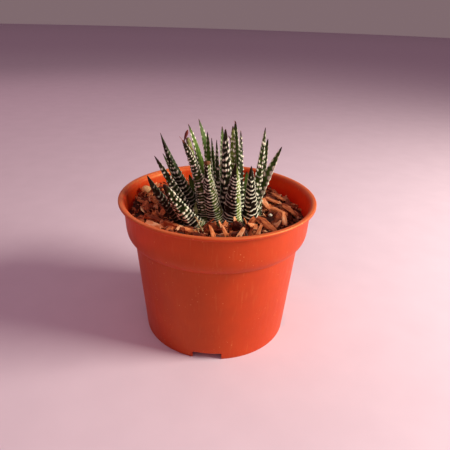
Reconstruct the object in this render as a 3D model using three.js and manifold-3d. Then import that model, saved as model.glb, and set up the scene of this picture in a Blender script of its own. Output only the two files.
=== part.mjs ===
/*
 * Potted haworthia: four clumps of upright, banded leaves in a small flared nursery pot,
 * with potting mix under a loose cover of bark chips.
 *
 * Units are millimetres and +Z is up. The origin is the middle of the pot's foot, on the
 * surface that the pot stands on. +X is to the right and +Y is away from the front.
 */
import * as THREE from "three";
import { mergeVertices } from "three/addons/utils/BufferGeometryUtils.js";
import Module from "manifold-3d";

const wasm = await Module();
wasm.setup();

// ---------------------------------------------------------------- driving dimensions
const GAP = 0.3;                 // clearance kept between neighbouring pieces
const POT_HEIGHT = 78;
const RIM_RADIUS = 52.5;         // outside of the lip
const RIM_MOUTH = 50.4;          // inner edge of the lip's flat top
const LIP_DEPTH = 1.7;           // the lip's height down the outside
const COLLAR_RADIUS = 49.9;      // outside of the collar, just under the lip
const SHOULDER_Z = 56.7;         // where the collar steps in to the body
const COLLAR_INSIDE_Z = 61.7;    // where the inside of the collar becomes straight
const BODY_RADIUS = 45;          // outside of the body, at the shoulder
const FOOT_RADIUS = 40.3;
const WALL = 1.2;
const FLOOR_UNDERSIDE = 4;       // the floor is raised off the surface by the foot ring
const FLOOR_TOP = 5.2;
const NOTCH_WIDTH = 15.6;        // drainage notches in the foot ring
const NOTCH_HEIGHT = 3.9;
const NOTCH_COUNT = 4;
const FIRST_NOTCH = -95.5;       // degrees from +X, so the first notch is at the front
const DRAIN_RADIUS = 4;          // drain holes through the floor, one behind each notch
const DRAIN_CIRCLE = 29;
const CUT_DEPTH = 4;             // depth of the tools that cut the notches and the drain holes
const MIX_TOP = 60;              // level of the potting mix under the chips
const CHIP_LEVEL = 67.4;         // mean level of the chip cover
const ROOT_Z = 65;               // leaf bases start here, sunk in the chips
const STEM_RADIUS = 3;
const STEM_BOTTOM = 58;
const STEM_TOP = 74;
const STEM_SIDES = 8;
const BAND_SPACING = 4.4;        // mean distance between the raised bands on a leaf
const BAND_HEIGHT = 0.45;
const BANDED_WIDTH = 4;          // the bands are lower where a leaf is narrower than this
const BAND_CROWDING = 1.12;      // power by which the bands crowd toward the base
const BASE_FLARE = 0.25;         // share by which a leaf widens where it clasps the stem
const FLARE_REACH = 0.15;        // share of the length over which the flare dies away
const THINNEST = 0.7;            // least thickness and width of a leaf's tip

const DEG = Math.PI / 180;

// ---------------------------------------------------------------- solids and meshes
function toSolid(geometry) {
  const bare = geometry.clone();
  bare.deleteAttribute("normal");
  bare.deleteAttribute("uv");
  const merged = mergeVertices(bare, 1e-4);
  return new wasm.Manifold(new wasm.Mesh({
    numProp: 3,
    vertProperties: new Float32Array(merged.attributes.position.array),
    triVerts: new Uint32Array(merged.index.array),
  }));
}

function toGeometry(solid) {
  const mesh = solid.getMesh();
  const geometry = new THREE.BufferGeometry();
  geometry.setAttribute("position", new THREE.BufferAttribute(mesh.vertProperties, 3));
  geometry.setIndex(new THREE.BufferAttribute(mesh.triVerts, 1));
  geometry.computeVertexNormals();
  return geometry;
}

/** Keeps the largest body of a cut solid, so no loose scrap is left beside it. */
function largestBody(solid) {
  const bodies = solid.decompose();
  bodies.sort((first, second) => second.volume() - first.volume());
  return bodies[0];
}

/** Closes rings of points, base first, into a skin: a flat base and a pointed tip. */
function skinRings(rings, tip) {
  const sides = rings[0].length;
  const last = rings.length - 1;
  const positions = [];
  const index = [];
  const base = new THREE.Vector3();
  rings[0].forEach((point) => base.addScaledVector(point, 1 / sides));
  rings.forEach((ring) => ring.forEach((point) => positions.push(point.x, point.y, point.z)));
  const baseIndex = rings.length * sides;
  positions.push(base.x, base.y, base.z, tip.x, tip.y, tip.z);
  for (let side = 0; side < sides; side += 1) {
    const next = (side + 1) % sides;
    for (let ring = 0; ring < last; ring += 1) {
      const low = ring * sides;
      const high = low + sides;
      index.push(low + side, low + next, high + next);
      index.push(low + side, high + next, high + side);
    }
    index.push(baseIndex, next, side);
    index.push(last * sides + side, last * sides + next, baseIndex + 1);
  }
  const geometry = new THREE.BufferGeometry();
  geometry.setAttribute("position", new THREE.Float32BufferAttribute(positions, 3));
  geometry.setIndex(index);
  return geometry;
}

/** A repeatable random number source, 0 to 1. */
function randomSource(seed) {
  let state = seed;
  return () => {
    state = (state + 0x6d2b79f5) | 0;
    let mixed = Math.imul(state ^ (state >>> 15), 1 | state);
    mixed = (mixed + Math.imul(mixed ^ (mixed >>> 7), 61 | mixed)) ^ mixed;
    return ((mixed ^ (mixed >>> 14)) >>> 0) / 4294967296;
  };
}

// ---------------------------------------------------------------- pot
const POT_SIDES = 44;
const DRAIN_SIDES = 12;

function spin(profile, sides) {
  const points = profile.map(([radius, z]) => new THREE.Vector2(radius, z));
  return toSolid(new THREE.LatheGeometry(points, sides).rotateX(Math.PI / 2));
}

function makePot() {
  const wallBottom = FOOT_RADIUS - WALL;
  const wallTop = BODY_RADIUS - WALL;
  const lipTop = POT_HEIGHT;
  const lipBottom = POT_HEIGHT - LIP_DEPTH;
  const shell = spin([
    [0, FLOOR_UNDERSIDE],
    [wallBottom, FLOOR_UNDERSIDE],
    [wallBottom, 0],
    [FOOT_RADIUS, 0],
    [BODY_RADIUS, SHOULDER_Z - 0.3],
    [BODY_RADIUS + 2, SHOULDER_Z + 0.4],
    [BODY_RADIUS + 3.3, SHOULDER_Z + 1.9],
    [COLLAR_RADIUS - 0.8, SHOULDER_Z + 4.1],
    [COLLAR_RADIUS, lipBottom],
    [RIM_RADIUS - 0.3, lipBottom],
    [RIM_RADIUS, lipBottom + 0.4],
    [RIM_RADIUS, lipTop - 0.4],
    [RIM_RADIUS - 0.4, lipTop],
    [RIM_MOUTH, lipTop],
    [COLLAR_RADIUS - WALL + 0.2, lipBottom],
    [COLLAR_RADIUS - WALL - 0.8, COLLAR_INSIDE_Z],
    [BODY_RADIUS + 2.2, SHOULDER_Z + 2.6],
    [BODY_RADIUS + 1.2, SHOULDER_Z + 1.6],
    [wallTop, SHOULDER_Z + 0.9],
    [wallBottom + 0.4, FLOOR_TOP],
    [0, FLOOR_TOP],
  ], POT_SIDES);
  let pot = shell;
  for (let count = 0; count < NOTCH_COUNT; count += 1) {
    const turn = (FIRST_NOTCH + (count * 360) / NOTCH_COUNT) * DEG;
    const notch = new THREE.BoxGeometry(CUT_DEPTH, NOTCH_WIDTH, 2 * NOTCH_HEIGHT);
    notch.translate(FOOT_RADIUS - WALL / 2, 0, 0).rotateZ(turn);
    pot = pot.subtract(toSolid(notch));
    const drain = new THREE.CylinderGeometry(DRAIN_RADIUS, DRAIN_RADIUS, CUT_DEPTH, DRAIN_SIDES);
    drain.rotateX(Math.PI / 2).translate(DRAIN_CIRCLE, 0, (FLOOR_UNDERSIDE + FLOOR_TOP) / 2);
    drain.rotateZ(turn);
    pot = pot.subtract(toSolid(drain));
  }
  return pot;
}

// ---------------------------------------------------------------- potting mix
function makeMix(stems) {
  const body = spin([
    [0, FLOOR_TOP + GAP],
    [FOOT_RADIUS - WALL, FLOOR_TOP + GAP],
    [BODY_RADIUS - WALL - 0.4, SHOULDER_Z + 1.3],
    [BODY_RADIUS + 0.9, SHOULDER_Z + 2],
    [BODY_RADIUS + 1.9, MIX_TOP],
    [0, MIX_TOP],
  ], POT_SIDES / 2);
  return stems.reduce((mix, stem) => mix.subtract(stem.room), body);
}

// ---------------------------------------------------------------- leaves
/*
 * One entry for each leaf. "root" is where its base stands, from the middle of the clump.
 * "toward" is the direction, in degrees from +X, in which the leaf leans, and "lean" its
 * angle off the vertical at the base and at the tip. "faces" is the direction that its
 * banded outer face looks. "taper" is the power by which the width falls to the tip,
 * "blunt" the width of a tip that has dried back, and "waist" the share of the width that
 * is left at a narrow base.
 */
const clumps = {
  a: {
    middle: [-10.5, -7.5],
    leaves: {
      a1: { root: [-5, -1.5], toward: 194, lean: [50, 24], length: 34.5, width: 10, faces: 236, taper: 0.6 },
      a2: { root: [-1, -3.5], toward: 211, lean: [41, 28], length: 31, width: 10, faces: 250, taper: 0.5 },
      a3: { root: [-2, 0.5], toward: 183, lean: [26, 31], length: 41, width: 8.5, faces: 235, taper: 0.65 },
      a4: { root: [3, 2], toward: 172, lean: [34, 18], length: 51.5, width: 9, faces: 285, taper: 0.8 },
      a5: { root: [-3.3, 4], toward: 151, lean: [22, 34], length: 38, width: 7, faces: 150, taper: 0.65 },
      a6: { root: [1, 6], toward: 140, lean: [12, 26], length: 24, width: 7, faces: 90, taper: 0.6 },
    },
  },
  b: {
    middle: [-2.5, -5.5],
    leaves: {
      b1: { root: [-4.6, -2.5], toward: 195, lean: [-2, 28], length: 47, width: 10, faces: 225, taper: 0.45 },
      b2: {
        root: [2.2, -4.2], toward: 206, lean: [17, 3], length: 36, width: 12, faces: 262, taper: 0.8, blunt: 3,
      },
      b3: { root: [-1.2, 1.5], toward: 168, lean: [3, 23], length: 52.5, width: 9, faces: 155, taper: 0.6 },
      b4: { root: [1, 4.5], toward: 150, lean: [0, 22], length: 53.7, width: 8, faces: 125, taper: 0.65 },
      b5: { root: [-1, 1], toward: 114, lean: [6, 9], length: 47, width: 7, faces: 60, taper: 0.65 },
      b6: { root: [2.5, 2.5], toward: 142, lean: [5, 8], length: 44, width: 6.5, faces: 30, taper: 0.6 },
      b7: { root: [2.5, -1.5], toward: 143, lean: [1, 3], length: 44.5, width: 5.5, faces: 320, taper: 0.6 },
      b8: { root: [2, 6.5], toward: 95, lean: [8, 22], length: 34, width: 8, faces: 85, taper: 0.6 },
    },
  },
  c: {
    middle: [8, -6],
    leaves: {
      c1: { root: [-3.5, 4], toward: 121, lean: [7, 7], length: 49.5, width: 7.5, faces: 135, taper: 0.55 },
      c2: { root: [-2, -2.5], toward: 171, lean: [5, 2], length: 50.5, width: 8.5, faces: 235, taper: 0.5 },
      c3: { root: [2, 5], toward: 107, lean: [9, 5], length: 52, width: 8, faces: 70, taper: 0.6 },
      c4: { root: [3, -0.5], toward: 102, lean: [5, 1], length: 49, width: 8, faces: 350, taper: 0.5 },
      c5: { root: [-0.6, -6], toward: 300, lean: [4, 3], length: 35, width: 10, faces: 268, taper: 0.6 },
      c6: { root: [0.5, 0], toward: 121, lean: [4, 4], length: 51, width: 6.5, faces: 300, taper: 0.5 },
      c7: { root: [0, 7.5], toward: 95, lean: [14, 28], length: 33, width: 8.5, faces: 90, taper: 0.6 },
    },
  },
  d: {
    middle: [18, -5],
    leaves: {
      d1: { root: [-0.5, -4], toward: 252, lean: [8, 6], length: 34, width: 9, faces: 262, taper: 0.7 },
      d2: { root: [0.5, 0], toward: 13, lean: [7, 3], length: 51, width: 7, faces: 300, taper: 0.65 },
      d3: { root: [1.5, 4], toward: 34, lean: [10, 8], length: 44, width: 7, faces: 60, taper: 0.6 },
      d4: { root: [-2.3, 1.5], toward: -5, lean: [19, 23], length: 44.5, width: 7.5, faces: 40, taper: 0.6 },
      d5: { root: [-1.5, 5.5], toward: 100, lean: [8, 22], length: 25, width: 7.5, faces: 100, taper: 0.6 },
    },
  },
};

/*
 * A leaf's cross-section, going round from one edge, as shares of its width: across the
 * leaf, then out from its inner face. The outer face is full and has a soft keel.
 */
const SECTION = [
  [-0.5, 0],
  [-0.36, 0.26],
  [-0.13, 0.37],
  [0.13, 0.37],
  [0.36, 0.26],
  [0.5, 0],
];
const SECTION_DEPTH = 0.37;

/** A leaf's skin from its base point up, swollen by "grow" on every side for a clearance. */
function leafGeometry(leaf, base, grow) {
  const toward = leaf.toward * DEG;
  const outward = new THREE.Vector3(Math.cos(leaf.faces * DEG), Math.sin(leaf.faces * DEG), 0);
  const bands = Math.round(leaf.length / (leaf.spacing ?? BAND_SPACING));
  const steps = grow > 0 ? bands : 2 * bands;
  const point = base.clone();
  const along = new THREE.Vector3();
  const rings = [];
  let travelled = 0;
  for (let step = 0; step < steps; step += 1) {
    const share = (step / steps) ** BAND_CROWDING;
    const lean = (leaf.lean[0] + (leaf.lean[1] - leaf.lean[0]) * share) * DEG;
    const advance = share * leaf.length - travelled;
    along.set(Math.sin(lean) * Math.cos(toward), Math.sin(lean) * Math.sin(toward), Math.cos(lean));
    point.addScaledVector(along, advance);
    travelled += advance;
    const normal = outward.clone().addScaledVector(along, -outward.dot(along)).normalize();
    const across = along.clone().cross(normal);
    const flare = 1 + BASE_FLARE * Math.exp(-((share / FLARE_REACH) ** 2));
    const waist = leaf.waist ?? 1;
    const spread = waist + (1 - waist) * Math.min(1, 2 * share);
    const fullWidth = leaf.width * (1 - share) ** leaf.taper * flare * spread;
    const width = Math.max(fullWidth, leaf.blunt ?? THINNEST);
    const thicken = Math.max(1, THINNEST / (SECTION_DEPTH * width));
    const banded = step % 2 === 1 || grow > 0;
    const ridge = banded && !leaf.plain ? BAND_HEIGHT * Math.min(1, width / BANDED_WIDTH) : 0;
    rings.push(SECTION.map(([u, v]) => {
      const swell = ridge + grow;
      const radial = Math.hypot(u, v);
      const acrossBy = u * width + (swell * u) / radial;
      const outBy = v > 0 ? v * width * thicken + (swell * v) / radial : -grow;
      return point.clone().addScaledVector(across, acrossBy).addScaledVector(normal, outBy);
    }));
  }
  const tip = point.clone().addScaledVector(along, leaf.length - travelled + grow);
  rings[0].forEach((corner) => corner.addScaledVector(along, -grow));
  return skinRings(rings, tip);
}

function leafBase(clump, leaf) {
  return new THREE.Vector3(clump.middle[0] + leaf.root[0], clump.middle[1] + leaf.root[1], ROOT_Z);
}

/*
 * Outer leaves first: each leaf is cut clear of the stem and of the leaves named before it,
 * so the inner leaves are nested between the bases of the outer ones.
 */
const NESTING = [
  "c5", "b2", "a2", "d1", "a1", "b1", "c2", "c4", "d4", "a3", "a4", "b3", "c3",
  "d2", "d3", "b4", "c6", "b5", "c1", "b6", "b7", "a5", "a6", "b8", "c7", "d5",
];

function makeLeaves(stems, stalk) {
  const leaves = new Map();
  const rooms = [...stems.map((stem) => stem.room), stalk.room];
  for (const name of NESTING) {
    const clump = clumps[name[0]];
    const leaf = clump.leaves[name];
    const base = leafBase(clump, leaf);
    let solid = toSolid(leafGeometry(leaf, base, 0));
    for (const room of rooms) {
      solid = solid.subtract(room);
    }
    const room = toSolid(leafGeometry(leaf, base, GAP));
    leaves.set(name, { solid: largestBody(solid), room });
    rooms.push(room);
  }
  return leaves;
}

// ---------------------------------------------------------------- stems and flower stalk
function makeStem([x, y]) {
  const column = (grow) => {
    const profile = [
      [0, STEM_BOTTOM - grow],
      [STEM_RADIUS - 0.6 + grow, STEM_BOTTOM - grow],
      [STEM_RADIUS + grow, MIX_TOP + 1],
      [STEM_RADIUS + grow, STEM_TOP - 3],
      [STEM_RADIUS - 1 + grow, STEM_TOP + grow],
      [0, STEM_TOP + grow],
    ].map(([radius, z]) => new THREE.Vector2(radius, z));
    const lathed = new THREE.LatheGeometry(profile, STEM_SIDES);
    return toSolid(lathed.rotateX(Math.PI / 2).translate(x, y, 0));
  };
  return { solid: column(0), room: column(GAP) };
}

const STALK_RADIUS = 1.3;
const STALK_COURSE = [
  new THREE.Vector3(-5.3, -4.7, STEM_TOP + 0.6),
  new THREE.Vector3(-10.4, -4.2, 90),
  new THREE.Vector3(-15.8, -4, 109.3),
];

function makeStalk() {
  const curve = new THREE.CatmullRomCurve3(STALK_COURSE);
  const tube = (radius) => {
    const circle = new THREE.Shape().absarc(0, 0, radius, 0, 2 * Math.PI);
    const options = { steps: 6, curveSegments: 8, bevelEnabled: false, extrudePath: curve };
    return toSolid(new THREE.ExtrudeGeometry(circle, options));
  };
  return { solid: tube(STALK_RADIUS), room: tube(STALK_RADIUS + GAP) };
}

/** The dried bract that clings to the cut end of the flower stalk. */
function makeBract(stalk) {
  const base = new THREE.Vector3(-17.7, -4.4, 106.4);
  const bract = {
    toward: 0,
    lean: [10, 22],
    length: 7.4,
    width: 2.2,
    faces: 255,
    taper: 0.35,
    waist: 0.3,
    spacing: 2,
    plain: true,
  };
  const solid = toSolid(leafGeometry(bract, base, 0));
  return largestBody(solid.subtract(stalk.room));
}

// ---------------------------------------------------------------- loose stones
const PEBBLE = { place: [-41.2, 16.8, 73.2], size: [3, 2.6, 2.5], detail: 1 };
const GRAIN = { place: [28.5, -5.6, 69], size: [1.5, 1.3, 1.2], detail: 0 };

function makeStone({ place, size, detail }) {
  const ball = (grow) => {
    const stone = new THREE.IcosahedronGeometry(1, detail);
    stone.scale(...size.map((radius) => radius + grow));
    return toSolid(stone.translate(...place));
  };
  return { solid: ball(0), room: ball(GAP) };
}

// ---------------------------------------------------------------- chip cover
const COVER_BOTTOM = MIX_TOP + GAP;
const COVER_SIDES = 22;
const COVER_RINGS = 5;
const COVER_JITTER = { turn: 0.6, height: 2.2 };
const SLOPE_RIGHT = -0.015;      // rise of the cover's level for each millimetre to the right
const SLOPE_BACK = 0.06;         // and for each millimetre toward the back
const HOLLOW = { rise: -2.6, middle: [-30, -24], reach: [17, 17] };
const BANK = { rise: 2.9, middle: [-40, 18], reach: [14, 16] };
const CHIP_COUNT = 60;
const CHIP_SEED = 41;
const CHIP_FIELD = 43;           // the scattered chips lie within this radius
const WALL_ZONE = 38;            // beyond this radius a chip lies along the wall
const CHIP_TURN = 2.39996;       // golden angle between one scattered chip and the next
const CHIP_TURN_JITTER = 0.3;
const CHIP_LEAST = [7, 3.6, 2.2];
const CHIP_RANGE = [5, 2.6, 1.6];
const CHIP_TIP = 0.9;            // range of a chip's tilt about each level axis, in radians
const CHIP_SINK = { share: 0.25, range: 0.8 };
const PINCH_LEAST = 0.62;        // a chip's corner is drawn in or out by a share from this
const PINCH_RANGE = 0.5;         // up to this much more
const CLUMP_REACH = 8.5;

/** A smooth rise or dip of the cover's level about a middle. */
function swellAt({ rise, middle, reach }, x, y) {
  const away = ((x - middle[0]) / reach[0]) ** 2 + ((y - middle[1]) / reach[1]) ** 2;
  return rise * Math.exp(-away);
}

/** Level of the chip cover: banked up at the back left, hollow at the front left. */
function coverLevel(x, y) {
  return CHIP_LEVEL + SLOPE_BACK * y + SLOPE_RIGHT * x + swellAt(HOLLOW, x, y) + swellAt(BANK, x, y);
}

/** Inside radius of the pot's collar, less a clearance, at a height. */
function mouthRadius(z) {
  const share = (z - COLLAR_INSIDE_Z) / (POT_HEIGHT - LIP_DEPTH - COLLAR_INSIDE_Z);
  return COLLAR_RADIUS - WALL - 0.8 + share - 1.5 * GAP;
}

function coverBase(random) {
  const rim = [];
  const foot = [];
  const index = [];
  const rows = [];
  for (let ring = 1; ring <= COVER_RINGS; ring += 1) {
    const row = [];
    for (let side = 0; side < COVER_SIDES; side += 1) {
      const edge = ring === COVER_RINGS;
      const turnJitter = edge ? 0 : COVER_JITTER.turn * (random() - 0.5);
      const turn = ((side + turnJitter) / COVER_SIDES) * 2 * Math.PI;
      const wallLevel = coverLevel(BODY_RADIUS * Math.cos(turn), BODY_RADIUS * Math.sin(turn));
      const reach = mouthRadius(wallLevel) * (ring / COVER_RINGS);
      const x = reach * Math.cos(turn);
      const y = reach * Math.sin(turn);
      const heightJitter = edge ? 0 : COVER_JITTER.height * (random() - 0.5);
      row.push([x, y, coverLevel(x, y) - 0.4 + heightJitter]);
    }
    rows.push(row);
  }
  const points = rows.flat();
  const top = points.push([0, 0, CHIP_LEVEL]) - 1;
  for (let side = 0; side < COVER_SIDES; side += 1) {
    const turn = (side / COVER_SIDES) * 2 * Math.PI;
    const reach = mouthRadius(COVER_BOTTOM) - GAP;
    foot.push(points.push([reach * Math.cos(turn), reach * Math.sin(turn), COVER_BOTTOM]) - 1);
    rim.push((COVER_RINGS - 1) * COVER_SIDES + side);
  }
  const under = points.push([0, 0, COVER_BOTTOM]) - 1;
  for (let side = 0; side < COVER_SIDES; side += 1) {
    const next = (side + 1) % COVER_SIDES;
    index.push(top, side, next);
    for (let ring = 0; ring < COVER_RINGS - 1; ring += 1) {
      const inner = ring * COVER_SIDES;
      const outer = inner + COVER_SIDES;
      index.push(inner + side, outer + side, outer + next);
      index.push(inner + side, outer + next, inner + next);
    }
    index.push(rim[side], foot[side], foot[next]);
    index.push(rim[side], foot[next], rim[next]);
    index.push(under, foot[next], foot[side]);
  }
  const geometry = new THREE.BufferGeometry();
  geometry.setAttribute("position", new THREE.Float32BufferAttribute(points.flat(), 3));
  geometry.setIndex(index);
  return toSolid(geometry);
}

/** One split chip of bark: a block with uneven corners, turned and tipped. */
function makeChip(size, place, turn, random) {
  const block = new THREE.BoxGeometry(...size);
  const bare = block.deleteAttribute("normal").deleteAttribute("uv");
  const chip = mergeVertices(bare, 1e-4);
  const corners = chip.attributes.position;
  for (let corner = 0; corner < corners.count; corner += 1) {
    const pinch = () => PINCH_LEAST + PINCH_RANGE * random();
    corners.setXYZ(
      corner,
      corners.getX(corner) * pinch(),
      corners.getY(corner) * pinch(),
      corners.getZ(corner) * pinch(),
    );
  }
  chip.applyMatrix4(new THREE.Matrix4().makeRotationFromEuler(new THREE.Euler(...turn, "ZYX")));
  chip.translate(...place);
  return toSolid(chip);
}

/*
 * The chips that stand out by their size: middle, size and turn of each. Those in front of
 * the clumps stand on end and one pale flake lies against the wall at the front left.
 */
const LARGE_CHIPS = [
  { place: [-3, -22, 68], size: [5, 3, 9], turn: [0.3, 0.5, 0.4] },
  { place: [4, -20, 67.5], size: [4, 3, 8], turn: [0.2, -0.5, 0.9] },
  { place: [10, -20, 68], size: [5, 2.6, 9], turn: [0.4, 0.2, -0.3] },
  { place: [17, -16, 67.6], size: [9, 4, 3], turn: [0.2, -0.6, 0.7] },
  { place: [23, -12, 68.4], size: [10, 4, 3.4], turn: [0.5, 0.5, -0.5] },
  { place: [31, -9, 68], size: [4, 3, 8], turn: [-0.2, 0.5, 0.2] },
  { place: [30, 6, 68.5], size: [12, 4.6, 3], turn: [0.3, 0.3, 0.6] },
  { place: [23, 10, 69.4], size: [10, 4.2, 3], turn: [-0.3, 0.35, -0.5] },
  { place: [37, -2, 68], size: [10, 5, 3], turn: [0.2, -0.3, 1.3] },
  { place: [-32, -24, 65.4], size: [11, 4.6, 2.4], turn: [-0.3, 0.1, 0.7] },
  { place: [-26, 6, 68.6], size: [11, 3.6, 3], turn: [0.3, 0.3, -0.4] },
  { place: [-13, -24, 67], size: [9, 3.4, 3], turn: [0.2, 0.4, 0.2] },
];

/** True where leaf bases take up the surface, so that no chip lies there. */
function inClump(x, y) {
  const middles = Object.values(clumps).map((clump) => clump.middle);
  return middles.some((middle) => Math.hypot(x - middle[0], y - middle[1]) < CLUMP_REACH);
}

function makeCover(rooms) {
  const random = randomSource(CHIP_SEED);
  let cover = coverBase(random);
  for (const { place, size, turn } of LARGE_CHIPS) {
    cover = cover.add(makeChip(size, place, turn, random));
  }
  for (let count = 0; count < CHIP_COUNT; count += 1) {
    const reach = CHIP_FIELD * Math.sqrt((count + 0.5) / CHIP_COUNT);
    const bearing = count * CHIP_TURN + CHIP_TURN_JITTER * random();
    const x = reach * Math.cos(bearing);
    const y = reach * Math.sin(bearing);
    const size = CHIP_LEAST.map((least, axis) => least + CHIP_RANGE[axis] * random());
    const tip = CHIP_TIP * (random() - 0.5);
    const roll = CHIP_TIP * (random() - 0.5);
    const turn = [roll, tip, 2 * Math.PI * random()];
    const sink = CHIP_SINK.share * size[2] + CHIP_SINK.range * (random() - 0.5);
    const place = [x, y, coverLevel(x, y) + sink];
    if (inClump(x, y)) {
      continue;
    }
    if (reach > WALL_ZONE) {
      turn[2] = bearing + Math.PI / 2;
    }
    cover = cover.add(makeChip(size, place, turn, random));
  }
  for (const room of rooms) {
    cover = cover.subtract(room);
  }
  return largestBody(cover);
}

// ---------------------------------------------------------------- assembly
const part = new THREE.Group();

function addPiece(name, solid, colour, roughness) {
  const material = new THREE.MeshStandardMaterial({ color: colour, roughness, metalness: 0 });
  const mesh = new THREE.Mesh(toGeometry(solid), material);
  mesh.name = name;
  part.add(mesh);
}

const stems = Object.fromEntries(
  Object.entries(clumps).map(([letter, clump]) => [letter, makeStem(clump.middle)]),
);
const stalk = makeStalk();
const leaves = makeLeaves(Object.values(stems), stalk);
const pebble = makeStone(PEBBLE);
const grain = makeStone(GRAIN);
const plantRooms = [...Object.values(stems), ...leaves.values()].map((piece) => piece.room);

addPiece("pot", makePot(), 0xb5482c, 0.45);
addPiece("potting_mix", makeMix(Object.values(stems)), 0x2b1a12, 0.95);
addPiece("chip_cover", makeCover([...plantRooms, pebble.room, grain.room]), 0x8a5233, 0.9);
addPiece("pebble", pebble.solid, 0xa98a4e, 0.6);
addPiece("perlite_grain", grain.solid, 0xd8cfc4, 0.9);
for (const [letter, stem] of Object.entries(stems)) {
  addPiece(`stem_${letter}`, stem.solid, 0x8f9a62, 0.7);
}
for (const [name, leaf] of [...leaves].sort()) {
  addPiece(`leaf_${name}`, leaf.solid, 0x2f5a26, 0.45);
}
addPiece("flower_stalk", stalk.solid, 0x8fa05a, 0.6);
addPiece("dry_bract", makeBract(stalk), 0x5d2222, 0.7);

export default part;
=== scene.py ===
"""Dresses the potted haworthia: a flared nursery pot, bark chips and four clumps of banded leaves.

Lengths are millimetres until a mesh is made, which is in metres. +Z is up, +X is to the right
and +Y is away from the front. The origin is the middle of the pot's foot, on the surface.
"""

import logging
import math
from collections.abc import Callable, Mapping, Sequence
from dataclasses import dataclass, field
from enum import Enum
from functools import partial

import bpy
import numpy as np
from mathutils import Matrix


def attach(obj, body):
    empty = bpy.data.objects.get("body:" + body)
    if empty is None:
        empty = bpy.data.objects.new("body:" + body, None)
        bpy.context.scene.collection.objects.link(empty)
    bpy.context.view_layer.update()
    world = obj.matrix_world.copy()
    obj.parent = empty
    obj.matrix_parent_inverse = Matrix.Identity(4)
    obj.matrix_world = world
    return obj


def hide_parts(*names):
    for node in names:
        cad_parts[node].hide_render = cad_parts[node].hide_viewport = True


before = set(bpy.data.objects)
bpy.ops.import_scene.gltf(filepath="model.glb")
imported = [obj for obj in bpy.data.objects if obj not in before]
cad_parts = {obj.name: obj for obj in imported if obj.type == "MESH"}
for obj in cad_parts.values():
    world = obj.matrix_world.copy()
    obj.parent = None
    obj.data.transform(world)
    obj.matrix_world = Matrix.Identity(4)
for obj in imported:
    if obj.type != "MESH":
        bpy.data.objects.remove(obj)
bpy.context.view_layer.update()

log = logging.getLogger("potted_haworthia")

Array = np.ndarray
MM = 0.001  # metres in a millimetre
BODY = "root"
WHOLE_TURN = 2 * math.pi
GOLDEN_TURN = 2.39996  # radians between neighbours on a spiral that fills a disc evenly
BITS = 0xFFFFFFFF  # a 32-bit whole number with every bit set
HASH_STRIDES = (374761393, 668265263, 974634777)  # factors of column, row and seed
HASH_MIXERS = ((13, 1274126177), (15, 846545339))  # shift and factor of each stirring
CORNERS = np.stack(np.meshgrid([-1, 1], [-1, 1], [-1, 1], indexing="ij"), axis=-1)  # a box's signs

Point = tuple[float, float, float]
Course = tuple[Point, ...]
Chips = tuple[Array, Array, Array, Array]  # corners of boxes, turning matrices, places and tones


# ---------------------------------------------------------------- patterns worked out by formula
def lattice_noise(across: Array, along: Array, seed: int) -> Array:
    """Smooth random values between 0 and 1 on a plane.

    Each whole-number corner has a value from an integer hash of its place and the seed. A point
    takes the mix of its four corners by the smooth step 3t² - 2t³ of its place between them.

    Args:
        across: first coordinate, in lattice steps.
        along: second coordinate, in lattice steps.
        seed: whole number that picks the pattern.

    Returns:
        The values, in the shape of the two coordinates together.
    """
    across, along = np.broadcast_arrays(np.asarray(across, float), np.asarray(along, float))
    column = np.floor(across).astype(np.int64)
    row = np.floor(along).astype(np.int64)

    def corner(right: int, up: int) -> Array:
        """The hashed value at a corner of each point's cell."""
        cell = (column + right, row + up, seed)
        mixed = sum(part * stride for part, stride in zip(cell, HASH_STRIDES)) & BITS
        for shift, factor in HASH_MIXERS:
            mixed = ((mixed ^ (mixed >> shift)) * factor) & BITS
        return (mixed ^ (mixed >> 16)) / BITS

    share_across = smooth_step(across - column, 0.0, 1.0)
    share_along = smooth_step(along - row, 0.0, 1.0)
    low = corner(0, 0) * (1 - share_across) + corner(1, 0) * share_across
    high = corner(0, 1) * (1 - share_across) + corner(1, 1) * share_across
    return low * (1 - share_along) + high * share_along


def smooth_step(value: Array, low: float, high: float) -> Array:
    """Rises from 0 at low to 1 at high, as 3t² - 2t³ of the share t between them."""
    share = np.clip((value - low) / (high - low), 0, 1)
    return share * share * (3 - 2 * share)


def bell(value: Array, width: float | Array) -> Array:
    """Falls from 1 at zero as exp(-(value / width)²)."""
    return np.exp(-((value / width) ** 2))


def unit(vectors: Array) -> Array:
    """The vectors at length 1."""
    return vectors / np.linalg.norm(vectors, axis=-1, keepdims=True)


def round_turn(count: int) -> Array:
    """Angles evenly round a circle, from +X, in radians."""
    return np.arange(count) / count * WHOLE_TURN


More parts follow.
